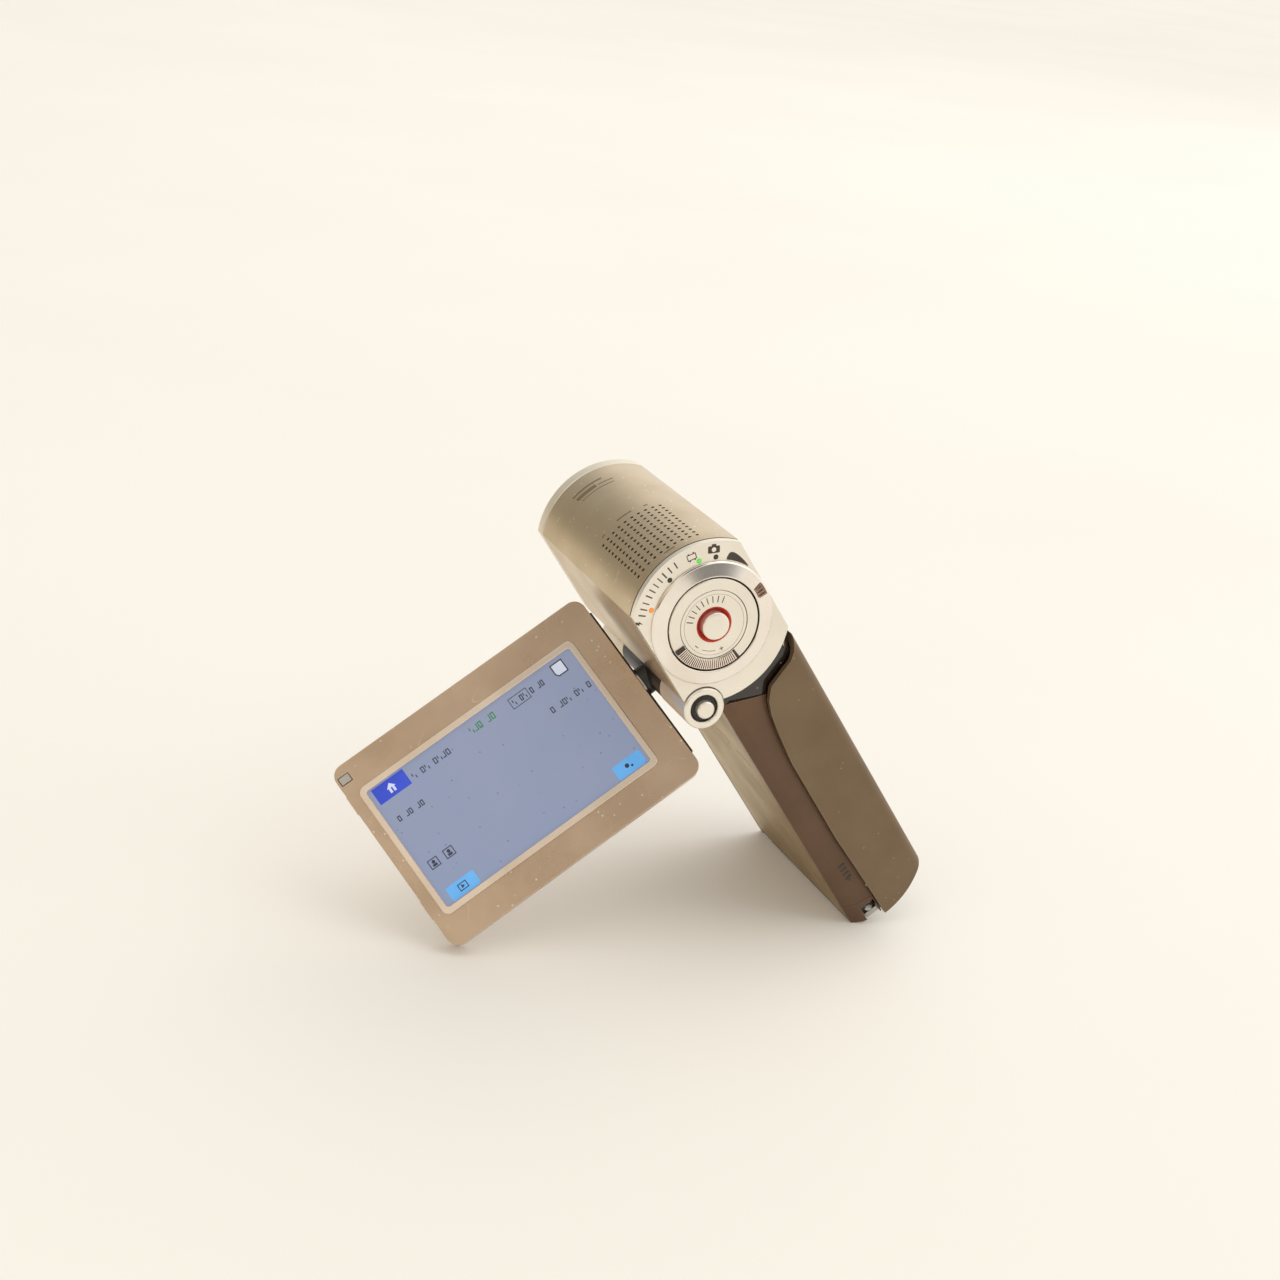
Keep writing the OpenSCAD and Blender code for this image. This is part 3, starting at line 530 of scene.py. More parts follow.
def refined(node: str, bevel_mm: float = 0.2, segments: int = 2, angle: float = 30.0,
            join_flats: bool = True) -> bpy.types.Object:
    """Makes a finer copy of a CAD node, with rounded edges, that stands for it.

    Args:
        node: CAD node.
        bevel_mm: width of the rounding.
        segments: segments of the rounding.
        angle: sharpest angle left as it is.
        join_flats: whether triangles of one flat become one face, which suits flats without holes.

    Returns:
        The new piece.
    """
    shape = bmesh.new()
    shape.from_mesh(frame["nodes"][node].data)
    bmesh.ops.remove_doubles(shape, verts=shape.verts, dist=2e-6)
    if join_flats:
        bmesh.ops.dissolve_limit(shape, angle_limit=math.radians(0.3), verts=shape.verts,
                                 edges=shape.edges)
    mesh = bpy.data.meshes.new(node + "_fine")
    shape.to_mesh(mesh)
    shape.free()
    piece = bpy.data.objects.new(node + "_fine", mesh)
    bpy.context.scene.collection.objects.link(piece)
    softened(piece, bevel_mm, segments, angle)
    return finished(piece, BODY_OF[node], SLOT_OF[node], [node])


def dressed(*nodes: str) -> None:
    """Gives CAD nodes that keep their own mesh the finish of their slot."""
    for node in nodes:
        mesh = frame["nodes"][node].data
        mesh.materials.clear()
        mesh.materials.append(FINISHES[SLOT_OF[node]].material())
        LOG.info("%s keeps its CAD mesh", node)


def rounded_profile(points: Sequence[Point2], radius: float, steps: int = 3) -> list[Point2]:
    """Rounds the corners of a closed profile, apart from those on the axis.

    Args:
        points: corners as (radius, height).
        radius: largest rounding.
        steps: points in each rounding.

    Returns:
        The finer profile.
    """
    result: list[Point2] = []
    count = len(points)
    for index, corner in enumerate(points):
        here = Vector(corner)
        before = Vector(points[index - 1]) - here
        after = Vector(points[(index + 1) % count]) - here
        cut = min(radius, before.length * 0.4, after.length * 0.4)
        if corner[0] < 1e-6 or cut < 1e-3:
            result.append(corner)
            continue
        start, end = here + before.normalized() * cut, here + after.normalized() * cut
        for step in range(steps + 1):
            t = step / steps
            bend = start * (1 - t) ** 2 + here * 2 * t * (1 - t) + end * t * t
            result.append((bend.x, bend.y))
    return result


def turned(name: str, place: Place, profile: Sequence[Point2], rounding: float = 0.08,
           segments: int = 144) -> bpy.types.Object:
    """Turns a closed profile about a place's z axis, at its origin.

    Args:
        name: object name.
        place: axes whose z is the turning axis.
        profile: corners as (radius, height) in millimetres.
        rounding: rounding of the profile's corners.
        segments: steps round the axis.

    Returns:
        The turned piece with smooth shading.
    """
    fine = rounded_profile(profile, rounding)
    matrix = place.matrix()
    verts, faces = [], []
    for turn in range(segments):
        angle = 2 * math.pi * turn / segments
        for radius, height in fine:
            point = Vector((radius * math.cos(angle), radius * math.sin(angle), height))
            verts.append(matrix @ point)
    size = len(fine)
    for turn in range(segments):
        here, there = turn * size, (turn + 1) % segments * size
        for step in range(size):
            ahead = (step + 1) % size
            if fine[step][0] < 1e-6 and fine[ahead][0] < 1e-6:
                continue
            faces.append([here + step, here + ahead, there + ahead, there + step])
    piece = object_from(name, verts, faces)
    return softened(piece, 0.0, angle=50.0)


def slab(name: str, place: Place, outlines: Sequence[Sequence[Point2]], low: float, high: float,
         bevel_mm: float = 0.0) -> bpy.types.Object:
    """Extrudes flat outlines between two heights of a place, as one piece.

    Args:
        name: object name.
        place: axes in which the outlines are drawn.
        outlines: closed outlines, each made a solid of its own.
        low: lower height.
        high: upper height.
        bevel_mm: rounding of the edges, or 0 for none.

    Returns:
        The new piece.
    """
    matrix = place.matrix()
    verts, faces = [], []
    for outline in outlines:
        first, count = len(verts), len(outline)
        for height in (low, high):
            verts += [matrix @ Vector((x, y, height)) for x, y in outline]
        faces.append(list(range(first, first + count)))
        faces.append(list(range(first + count, first + 2 * count)))
        for step in range(count):
            ahead = (step + 1) % count
            faces.append([first + step, first + ahead, first + count + ahead, first + count + step])
    piece = object_from(name, verts, faces, merge=False)
    return softened(piece, bevel_mm, 1) if bevel_mm else piece


def bar(x0: float, x1: float, y0: float, y1: float) -> list[Point2]:
    """A rectangle's outline."""
    return [(x0, y0), (x1, y0), (x1, y1), (x0, y1)]


def pill(x0: float, x1: float, y0: float, y1: float, radius: float, steps: int = 6) -> list[Point2]:
    """A rectangle's outline with rounded corners."""
    points = []
    for cx, cy, start in ((x1 - radius, y0 + radius, -90), (x1 - radius, y1 - radius, 0),
                          (x0 + radius, y1 - radius, 90), (x0 + radius, y0 + radius, 180)):
        for step in range(steps + 1):
            angle = math.radians(start + 90 * step / steps)
            points.append((cx + radius * math.cos(angle), cy + radius * math.sin(angle)))
    return points


def ring_bars(x0: float, x1: float, y0: float, y1: float, line: float) -> list[list[Point2]]:
    """Four bars that frame a rectangle."""
    return [bar(x0, x1, y0, y0 + line), bar(x0, x1, y1 - line, y1),
            bar(x0, x0 + line, y0 + line, y1 - line), bar(x1 - line, x1, y0 + line, y1 - line)]


def arc_band(radius: float, width: float, start: float, end: float,
             steps: int = 40) -> list[Point2]:
    """Outline of a flat arc about the origin.

    Args:
        radius: middle radius.
        width: width across the arc.
        start: first angle in degrees.
        end: last angle in degrees.
        steps: steps along the arc.

    Returns:
        The outline's points.
    """
    points = []
    for reach, order in ((radius - width / 2, range(steps + 1)),
                         (radius + width / 2, range(steps, -1, -1))):
        for step in order:
            angle = math.radians(start + (end - start) * step / steps)
            points.append((reach * math.cos(angle), reach * math.sin(angle)))
    return points


def polar(outline: Sequence[Point2], radius: float, angle: float) -> list[Point2]:
    """Moves an outline out to a radius and angle, with its y axis pointing outwards.

    Args:
        outline: outline about the origin.
        radius: distance to move it.
        angle: direction in degrees.

    Returns:
        The moved outline.
    """
    turn = math.radians(angle - 90)
    cos, sin = math.cos(turn), math.sin(turn)
    return [(x * cos - (y + radius) * sin, x * sin + (y + radius) * cos) for x, y in outline]


def dot(x: float, y: float, radius: float, steps: int = 20) -> list[Point2]:
    """A circle's outline."""
    turns = [2 * math.pi * step / steps for step in range(steps)]
    return [(x + radius * math.cos(turn), y + radius * math.sin(turn)) for turn in turns]


# ---- Geometry Nodes repeats -----------------------------------------------------------------
class Layout(Enum):
    """How a repeat sets out its copies."""

    ARC = "copies_on_an_arc"
    DRUM = "copies_round_a_drum"
    GRID = "copies_on_a_grid"


@dataclass(frozen=True)
class Repeat:
    """A Geometry Nodes tree that sets out copies of one small part."""

    layout: Layout
    seed: int = 7

    def _sockets(self) -> dict[str, tuple[str, float]]:
        """Named inputs of this layout, with their socket types and defaults."""
        whole, real = "NodeSocketInt", "NodeSocketFloat"
        if self.layout is Layout.ARC:
            return {"Count": (whole, 12), "Radius": (real, 10.0), "From": (real, 0.0),
                    "To": (real, 90.0), "Height": (real, 0.0)}
        if self.layout is Layout.DRUM:
            return {"Rows": (whole, 4), "Columns": (whole, 4), "Row Pitch": (real, 2.0),
                    "Column Pitch": (real, 5.0), "First Row": (real, 0.0), "Radius": (real, 20.0)}
        return {"Columns": (whole, 2), "Rows": (whole, 2), "Width": (real, 10.0),
                "Length": (real, 10.0)}

    def tree(self) -> bpy.types.NodeTree:
        """Builds the layout's tree once, ending in Realize Instances and Set Material.

        Returns:
            The geometry node tree.
        """
        found = bpy.data.node_groups.get(self.layout.value)
        if found:
            return found
        tree = bpy.data.node_groups.new(self.layout.value, "GeometryNodeTree")
        face = tree.interface
        face.new_socket("Geometry", in_out="INPUT", socket_type="NodeSocketGeometry")
        for label, (kind, value) in self._sockets().items():
            face.new_socket(label, in_out="INPUT", socket_type=kind).default_value = value
        change_by = face.new_socket("Size Change", in_out="INPUT", socket_type="NodeSocketFloat")
        change_by.default_value = 0.0
        face.new_socket("Part", in_out="INPUT", socket_type="NodeSocketObject")
        face.new_socket("Finish", in_out="INPUT", socket_type="NodeSocketMaterial")
        face.new_socket("Geometry", in_out="OUTPUT", socket_type="NodeSocketGeometry")
        inp, out = tree.nodes.new("NodeGroupInput"), tree.nodes.new("NodeGroupOutput")

        calc = partial(math_node, tree)

        def vector(x: object, y: object, z: object) -> object:
            node = tree.nodes.new("ShaderNodeCombineXYZ")
            for slot, value in enumerate((x, y, z)):
                feed(tree, node.inputs[slot], value)
            return node.outputs[0]

        index = tree.nodes.new("GeometryNodeInputIndex").outputs[0]
        points = tree.nodes.new("GeometryNodePoints")
        if self.layout is Layout.ARC:
            tree.links.new(inp.outputs["Count"], points.inputs["Count"])
            gaps = calc("MAXIMUM", calc("SUBTRACT", inp.outputs["Count"], 1), 1)
            share = calc("DIVIDE", index, gaps)
            span = calc("SUBTRACT", inp.outputs["To"], inp.outputs["From"])
            degrees = calc("ADD", inp.outputs["From"], calc("MULTIPLY", span, share))
            angle = calc("RADIANS", degrees, 0)
            place = vector(calc("MULTIPLY", inp.outputs["Radius"], calc("COSINE", angle, 0)),
                           calc("MULTIPLY", inp.outputs["Radius"], calc("SINE", angle, 0)),
                           inp.outputs["Height"])
            turn = vector(0.0, 0.0, angle)
        else:
            total = calc("MULTIPLY", inp.outputs["Columns"], inp.outputs["Rows"])
            tree.links.new(total, points.inputs["Count"])
            row = calc("FLOOR", calc("DIVIDE", index, inp.outputs["Columns"]), 0)
            column = calc("SUBTRACT", index, calc("MULTIPLY", row, inp.outputs["Columns"]))
            middle = calc("DIVIDE", calc("SUBTRACT", inp.outputs["Columns"], 1), 2)
            if self.layout is Layout.DRUM:
                steps = calc("SUBTRACT", column, middle)
                degrees = calc("MULTIPLY", steps, inp.outputs["Column Pitch"])
                angle = calc("RADIANS", degrees, 0)
                run = calc("MULTIPLY", row, inp.outputs["Row Pitch"])
                along = calc("ADD", inp.outputs["First Row"], run)
                place = vector(calc("MULTIPLY", inp.outputs["Radius"], calc("SINE", angle, 0)), along,
                               calc("MULTIPLY", inp.outputs["Radius"], calc("COSINE", angle, 0)))
                turn = vector(0.0, angle, 0.0)
            else:
                last = calc("DIVIDE", calc("SUBTRACT", inp.outputs["Rows"], 1), 2)
                x = calc("MULTIPLY", calc("SUBTRACT", column, middle), inp.outputs["Width"])
                y = calc("MULTIPLY", calc("SUBTRACT", row, last), inp.outputs["Length"])
                place, turn = vector(x, y, 0.0), vector(0.0, 0.0, 0.0)
        tree.links.new(place, points.inputs["Position"])
        draw = tree.nodes.new("FunctionNodeRandomValue")
        draw.inputs["Seed"].default_value = self.seed
        change = calc("MULTIPLY", calc("SUBTRACT", draw.outputs[1], 0.5), inp.outputs["Size Change"])
        part = tree.nodes.new("GeometryNodeObjectInfo")
        tree.links.new(inp.outputs["Part"], part.inputs["Object"])
        copies = tree.nodes.new("GeometryNodeInstanceOnPoints")
        tree.links.new(points.outputs[0], copies.inputs["Points"])
        tree.links.new(part.outputs["Geometry"], copies.inputs["Instance"])
        tree.links.new(turn, copies.inputs["Rotation"])
        tree.links.new(vector(1.0, calc("ADD", change, 1.0), 1.0), copies.inputs["Scale"])
        real = tree.nodes.new("GeometryNodeRealizeInstances")
        tree.links.new(copies.outputs[0], real.inputs[0])
        paint = tree.nodes.new("GeometryNodeSetMaterial")
        tree.links.new(real.outputs[0], paint.inputs["Geometry"])
        tree.links.new(inp.outputs["Finish"], paint.inputs["Material"])
        tree.links.new(paint.outputs[0], out.inputs["Geometry"])
        return tree

    def build(self, name: str, place: Place, part: bpy.types.Object, finish: str,
              **sizes: float) -> bpy.types.Object:
        """Sets out the copies and turns them into one plain mesh in a place.

        Args:
            name: object name.
            place: axes in which the layout is drawn.
            part: template object in millimetres, which is removed afterwards.
            finish: key of FINISHES.
            sizes: values of the tree's inputs, with _ for a space.

        Returns:
            The finished mesh object.
        """
        made = bpy.data.objects.new(name, bpy.data.meshes.new(name))
        bpy.context.scene.collection.objects.link(made)
        modifier = made.modifiers.new(self.layout.value, "NODES")
        modifier.node_group = self.tree()
        values = {label.replace("_", " "): value for label, value in sizes.items()}
        values |= {"Part": part, "Finish": FINISHES[finish].material()}
        for item in modifier.node_group.interface.items_tree:
            if item.in_out == "INPUT" and item.name in values:
                modifier[item.identifier] = values[item.name]
        applied(made)
        made.data.transform(place.matrix())
        for face in made.data.polygons:
            face.use_smooth = False
        bpy.data.objects.remove(part)
        return made


def template(outline: Sequence[Point2], low: float, high: float,
             chamfer: float = 0.0) -> bpy.types.Object:
    """Makes a small part in millimetres about the origin, for a repeat to copy.

    Args:
        outline: its outline.
        low: lower height.
        high: upper height.
        chamfer: chamfer of its top, or 0 for none.

    Returns:
        The template object.
    """
    rings = [(outline, low), (outline, high - chamfer)]
    if chamfer:
        middle = Vector((sum(x for x, _ in outline), sum(y for _, y in outline))) / len(outline)
        reach = min((Vector(p) - middle).length for p in outline)
        shrink = 1 - chamfer / reach
        rings.append(([((x - middle.x) * shrink + middle.x, (y - middle.y) * shrink + middle.y)
                       for x, y in outline], high))
    verts = [Vector((x, y, height)) for ring, height in rings for x, y in ring]
    count = len(outline)
    faces: list[list[int]] = [list(range(count)), list(range(len(verts) - count, len(verts)))]
    for ring in range(len(rings) - 1):
        for step in range(count):
            ahead = (step + 1) % count
            faces.append([ring * count + step, ring * count + ahead,
                          (ring + 1) * count + ahead, (ring + 1) * count + step])
    return object_from("repeat_template", verts, faces)


# ---- Head -----------------------------------------------------------------------------------
@dataclass
class Head:
    """Metal barrel with its microphone grille, front cap, lens and lens covers."""

    places: Places
    radius: float = 19.8
    dial_height: float = 98.5
    hole_rows: int = 12
    hole_columns: int = 10
    row_pitch: float = 1.95
    column_pitch: float = 5.4
    first_row: float = 4.9
    cup_radius: float = 0.62
    cup_depth_below: float = 1.25
    print_half: float = 0.02

    def build(self) -> None:
        """Builds and dresses every piece of the head."""
        refined("barrel_shell", 0.0, join_flats=False)
        refined("front_cap", 0.45, 3, join_flats=False)
        refined("upper_lens_cover", 0.12)
        refined("lower_lens_cover", 0.12)
        dressed("cap_gasket", "cover_guide", "lens_barrel", "sensor_board", "mic_board")
        self._lens()
        self._grille()
        self._printing()

    def _lens(self) -> None:
        """Turns the bezel, front element and zoom carriage with rounded edges."""
        lens = self.places.dial
        bezel = [(7.4, -60.9), (12.2, -60.9), (12.2, -62.3), (11.4, -62.4), (10.6, -62.2), (9.2, -61.9),
                 (8.6, -61.5), (7.4, -61.1)]
        finished(turned("lens_bezel_fine", lens, bezel, 0.12), BODY_OF["lens_bezel"], "black_plastic",
                 ["lens_bezel"])
        front = [(0, -58.2), (2.5, -58.05), (5, -57.5), (7, -56.6), (8.35, -55.6), (8.35, -53.4),
                 (5, -54.2), (2.5, -54.6), (0, -54.8)]
        finished(turned("front_lens_fine", lens, front, 0.6), BODY_OF["front_lens"], "optic_glass",
                 ["front_lens"])
        refined("zoom_carriage", 0.15)

    def _grille(self) -> None:
        """Sets a dark cup behind each microphone hole, so that each hole shows dark."""
        axis = Place(self.places.body.at(0, 0, self.dial_height), self.places.body.x,
                     self.places.body.y, self.places.body.z)
        cup = template(dot(0, 0, self.cup_radius, 8), -0.28, 0.0, 0.1)
        cups = Repeat(Layout.DRUM).build(
            "microphone_screen_cups", axis, cup, "black_plastic", Rows=self.hole_rows,
            Columns=self.hole_columns, Row_Pitch=self.row_pitch, Column_Pitch=self.column_pitch,
            First_Row=self.first_row, Radius=self.radius - self.cup_depth_below)
        finished(cups, "camcorder", "black_plastic")

    def _printing(self) -> None:
        """Wraps plain printed lines round the top of the barrel, and dashes round the grille."""
        lines = ((52.6, 0.75, 79.0, 104.0), (50.3, 1.5, 86.0, 103.0), (50.1, 0.4, 73.0, 84.5),
                 (48.2, 0.3, 74.0, 101.0), (29.3, 0.5, 84.0, 96.0), (28.9, 0.5, 72.0, 75.0),
                 (28.9, 0.5, 108.0, 111.0), (3.6, 0.4, 84.0, 92.0))
        verts, faces = [], []
        body = self.places.body
        for along, width, start, end in lines:
            steps = max(3, int((end - start) / 1.5))
            first = len(verts)
            for step in range(steps + 1):
                angle = math.radians(start + (end - start) * step / steps)
                for reach in (self.radius - self.print_half, self.radius + self.print_half):
                    for side in (-width / 2, width / 2):
                        verts.append(body.at(reach * math.cos(angle), along + side,
                                             self.dial_height + reach * math.sin(angle)))
            for step in range(steps):
                a, b = first + 4 * step, first + 4 * (step + 1)
                faces += [[a + 2, a + 3, b + 3, b + 2], [a, b, b + 1, a + 1], [a, a + 2, b + 2, b],
                          [a + 1, b + 1, b + 3, a + 3]]
            last = first + 4 * steps
            faces += [[first, first + 1, first + 3, first + 2], [last, last + 2, last + 3, last + 1]]
        finished(object_from("barrel_printed_lines", verts, faces), "camcorder", "print_barrel")


# ---- Dial -----------------------------------------------------------------------------------
@dataclass
class Dial:
    """Back plate with its thumb dial, lights, printed marks and start button."""

    places: Places
    plate_z: float = 0.0
    hub_top: float = 1.2
    ring_outer: float = 14.9
    ring_inner: float = 11.35
    zoom_outer: float = 11.0
    ridge_count: int = 30
    ridge_from: float = 186.0
    ridge_to: float = 272.0
    grip_radius: float = 9.6
    lamp_radius: float = 15.75
    pointer_radius: float = 15.15
    pointer_from: float = 26.0
    pointer_sweep: float = 22.0
    print_rise: float = 0.02

    def build(self) -> None:
        """Builds and dresses every piece of the dial."""
        refined("back_plate", 0.28, 3)
        dressed("mode_ring_clip", "dial_base", "control_board")
        dial = self.places.dial
        ring = [(self.ring_inner, -2.6), (12.3, -2.6), (12.3, 0.06), (self.ring_outer, 0.06),
                (self.ring_outer, 0.42), (14.5, 0.7), (11.6, 1.28), (self.ring_inner, 1.12)]
        finished(turned("mode_ring_fine", dial, ring, 0.1, 180), "mode_dial", "ring_metal",
                 ["mode_ring"])
        refined("thumb_tab", 0.08, 2)
        zoom = [(8.32, -2.9), (9.3, -2.9), (9.3, -0.3), (self.zoom_outer, -0.3), (self.zoom_outer, 1.0),
                (10.8, self.hub_top), (8.32, self.hub_top)]
        finished(turned("zoom_ring_fine", dial, zoom, 0.08, 180), "zoom_lever", "plate_cream",
                 ["zoom_ring"])
        hub = [(4.3, 0.3), (8.2, 0.3), (8.2, 1.05), (8.05, self.hub_top), (4.3, self.hub_top)]
        finished(turned("hub_disc_fine", dial, hub, 0.06, 144), "camcorder", "plate_cream",
                 ["hub_disc"])
        glow = [(3.4, -1.4), (4.28, -1.4), (4.28, 1.12), (4.1, 1.18), (3.4, 0.2)]
        finished(turned("light_ring_fine", dial, glow, 0.05, 96), "camcorder", "red_light",
                 ["light_ring"])
        button = [(0, -2.2), (3.8, -2.2), (3.8, -1.55), (3.25, -1.55), (3.25, 2.25), (3.15, 2.45),
                  (2.8, 2.58), (0, 2.6)]
        finished(turned("start_button_fine", dial, button, 0.1, 96), "start_key", "plate_cream",
                 ["start_button"])
        self._ridges()
        self._lights()
        self._marks()

    def _ridges(self) -> None:
        """Cuts the thumb grip: a row of ridges over a painted shadow band, with a dark stop at each end."""
        ridge = template(bar(-1.15, 1.15, -0.13, 0.13), 0.0, 0.4, 0.08)
        row = Repeat(Layout.ARC).build(
            "zoom_thumb_ridges", self.places.dial, ridge, "ring_metal", Count=self.ridge_count,
            Radius=self.grip_radius, From=self.ridge_from, To=self.ridge_to, Height=self.hub_top - 0.05)
        finished(row, "zoom_lever", "ring_metal")
        # A flat brown band under the ridges: painted shadow in the grooves between them.
        ridge_shade_band = slab("zoom_grip_shadow_band", self.places.dial,
                      [arc_band(self.grip_radius, 2.3, self.ridge_from - 1, self.ridge_to + 1)],
                      self.hub_top - 0.04, self.hub_top + 0.03)
        finished(ridge_shade_band, "zoom_lever", "tab_brown")
        stops = slab("zoom_grip_stops", self.places.dial,
                     [arc_band(9.65, 2.4, self.ridge_from - 7, self.ridge_from - 1.4, 6),
                      arc_band(9.65, 2.4, self.ridge_to + 1.4, self.ridge_to + 5, 6)],
                     self.hub_top - 0.04, self.hub_top + 0.3, 0.05)
        finished(stops, "zoom_lever", "dark_mark")

    def _lights(self) -> None:
        """Domes the lamps and the printed dots of the plate."""
        for name, angles, finish in (("movie_light", (73,), "green_light"),
                                     ("charge_light", (131,), "amber_light"),
                                     ("mode_marks", (102, 58), "dark_mark")):
            pieces = []
            for angle in angles:
                turn = math.radians(angle)
                x, y = self.lamp_radius * math.cos(turn), self.lamp_radius * math.sin(turn)
                place = Place(self.places.dial.at(x, y, 0), self.places.dial.x, self.places.dial.y,
                              self.places.dial.z)
                dome = [(0, -1.5), (0.52, -1.5), (0.52, 0.02), (0.4, 0.12), (0.22, 0.17), (0, 0.19)]
                pieces.append(turned(f"{name}_dome", place, dome, 0.04, 24))
            if len(pieces) > 1:
                with bpy.context.temp_override(active_object=pieces[0],
                                               selected_editable_objects=pieces):
                    bpy.ops.object.join()
            finished(pieces[0], "camcorder", finish, [name])

    def _pointer(self) -> list[Point2]:
        """Outline of the crescent wedge that swells against the turning direction."""
        inner, outer = [], []
        for step in range(21):
            share = step / 20
            angle = math.radians(self.pointer_from + self.pointer_sweep * share)
            reach = self.pointer_radius + 0.2 + 2.3 * share * math.sqrt(1.04 - share ** 8)
            inner.append((self.pointer_radius * math.cos(angle),
                          self.pointer_radius * math.sin(angle)))
            outer.append((reach * math.cos(angle), reach * math.sin(angle)))
        return inner + outer[::-1]

    def _marks(self) -> None:
        """Prints the plate's scale ticks and plain pictograms."""
        dial = self.places.dial
        low, high = self.plate_z - 0.02, self.plate_z + self.print_rise
        for name, count, start, end, length in (
            ("charge_ticks", 3, 136.5, 127.0, 1.75), ("ready_ticks", 5, 121.5, 102.5, 1.75),
            ("ready_ticks_short", 2, 97.0, 91.5, 1.75),
        ):
            tick = template(bar(-length / 2, length / 2, -0.16, 0.16), 0.0, high - low)
            row = Repeat(Layout.ARC).build(
                f"plate_{name}", dial, tick, "print_brown", Count=count, Radius=17.6, From=start,
                To=end, Height=low, Size_Change=0.3)
            finished(row, "camcorder", "print_brown")
        finished(slab("plate_mode_pointer", dial, [self._pointer()], low, high), "camcorder",
                 "dark_mark")
        film = [polar(outline, 17.35, 78) for outline in
                ring_bars(-1.15, 1.15, -0.75, 0.75, 0.2)
                + [bar(-0.8, -0.45, 0.75, 1.0), bar(0.45, 0.8, 0.75, 1.0),
                   bar(-0.8, -0.45, -1.0, -0.75), bar(0.45, 0.8, -1.0, -0.75)]]
        finished(slab("plate_film_pictogram", dial, film, low, high), "camcorder", "dark_mark")
        shot = [polar(outline, 17.7, 60) for outline in
                [pill(-1.45, 1.45, -0.95, 0.75, 0.25), bar(-0.55, 0.55, 0.75, 1.2)]]
        finished(slab("plate_camera_pictogram", dial, shot, low, high), "camcorder", "dark_mark")
        eye = slab("plate_camera_pictogram_eye", dial, [polar(dot(0, -0.1, 0.55), 17.7, 60)], low,
                   high + 0.01)
        finished(eye, "camcorder", "plate_cream")
        bolt = [polar(outline, 17.9, 142.5) for outline in
                [[(-0.15, 0.9), (-0.55, -0.1), (0.1, 0.0), (0.35, 0.9)],
                 [(-0.1, 0.1), (0.45, 0.15), (-0.25, -0.95)]]]
        finished(slab("plate_bolt_pictogram", dial, bolt, low, high), "camcorder", "dark_mark")
        top, rise = self.hub_top - 0.02, self.hub_top + self.print_rise
        tick = template(bar(-0.8, 0.8, -0.12, 0.12), 0.0, rise - top)
        row = Repeat(Layout.ARC).build("hub_start_ticks", dial, tick, "print_brown", Count=9,
                                       Radius=6.15, From=138, To=40, Height=top, Size_Change=0.2)
        finished(row, "camcorder", "print_brown")
        zoom = [arc_band(6.4, 0.12, -146, -116, 14), polar(bar(-0.5, 0.5, -0.1, 0.1), 6.4, -161),
                polar(bar(-0.5, 0.5, -0.1, 0.1), 6.4, -102), polar(bar(-0.1, 0.1, -0.5, -0.1), 6.4, -102),
                polar(bar(-0.1, 0.1, 0.1, 0.5), 6.4, -102)]
        finished(slab("hub_zoom_marks", dial, zoom, top, rise), "camcorder", "print_brown")
        groove = slab("hub_fine_line", dial, [arc_band(7.35, 0.07, 0, 359.99, 120)], top,
                      self.hub_top + 0.012)
        finished(groove, "camcorder", "tab_brown")


# ---- Screen hinge ---------------------------------------------------------------------------
@dataclass
class ScreenHinge:
    """Round hinge below the head, with the still-picture button in its end."""

    places: Places
    bezel_radius: float = 5.05

    def build(self) -> None:
        """Builds and dresses the hinge."""
        hinge = self.places.hinge
        collar = [(3.35, -13.9), (self.bezel_radius, -13.9), (self.bezel_radius, 0.35), (4.75, 0.7),
                  (3.6, 0.7), (3.35, 0.45)]
        finished(turned("photo_bezel_fine", hinge, collar, 0.1, 96), "camcorder", "plate_cream",
                 ["photo_bezel"])
        well = [(2.35, -0.6), (3.2, -0.6), (3.2, 0.12), (2.9, 0.32), (2.35, 0.32)]
        finished(turned("photo_button_skirt", hinge, well, 0.05, 72), "photo_key", "black_plastic")
        nub = [(0, -3.4), (3.19, -3.4), (3.19, -0.62), (2.1, -0.62), (2.1, 1.5), (1.75, 1.78), (0, 1.8)]
        finished(turned("photo_button_fine", hinge, nub, 0.12, 72), "photo_key", "plate_cream",
                 ["photo_button"])
        refined("front_knuckle", 0.2)
        refined("hinge_block", 0.15)
        dressed("hinge_pin", "hinge_cradle", "tilt_shaft", "hinge_bracket")


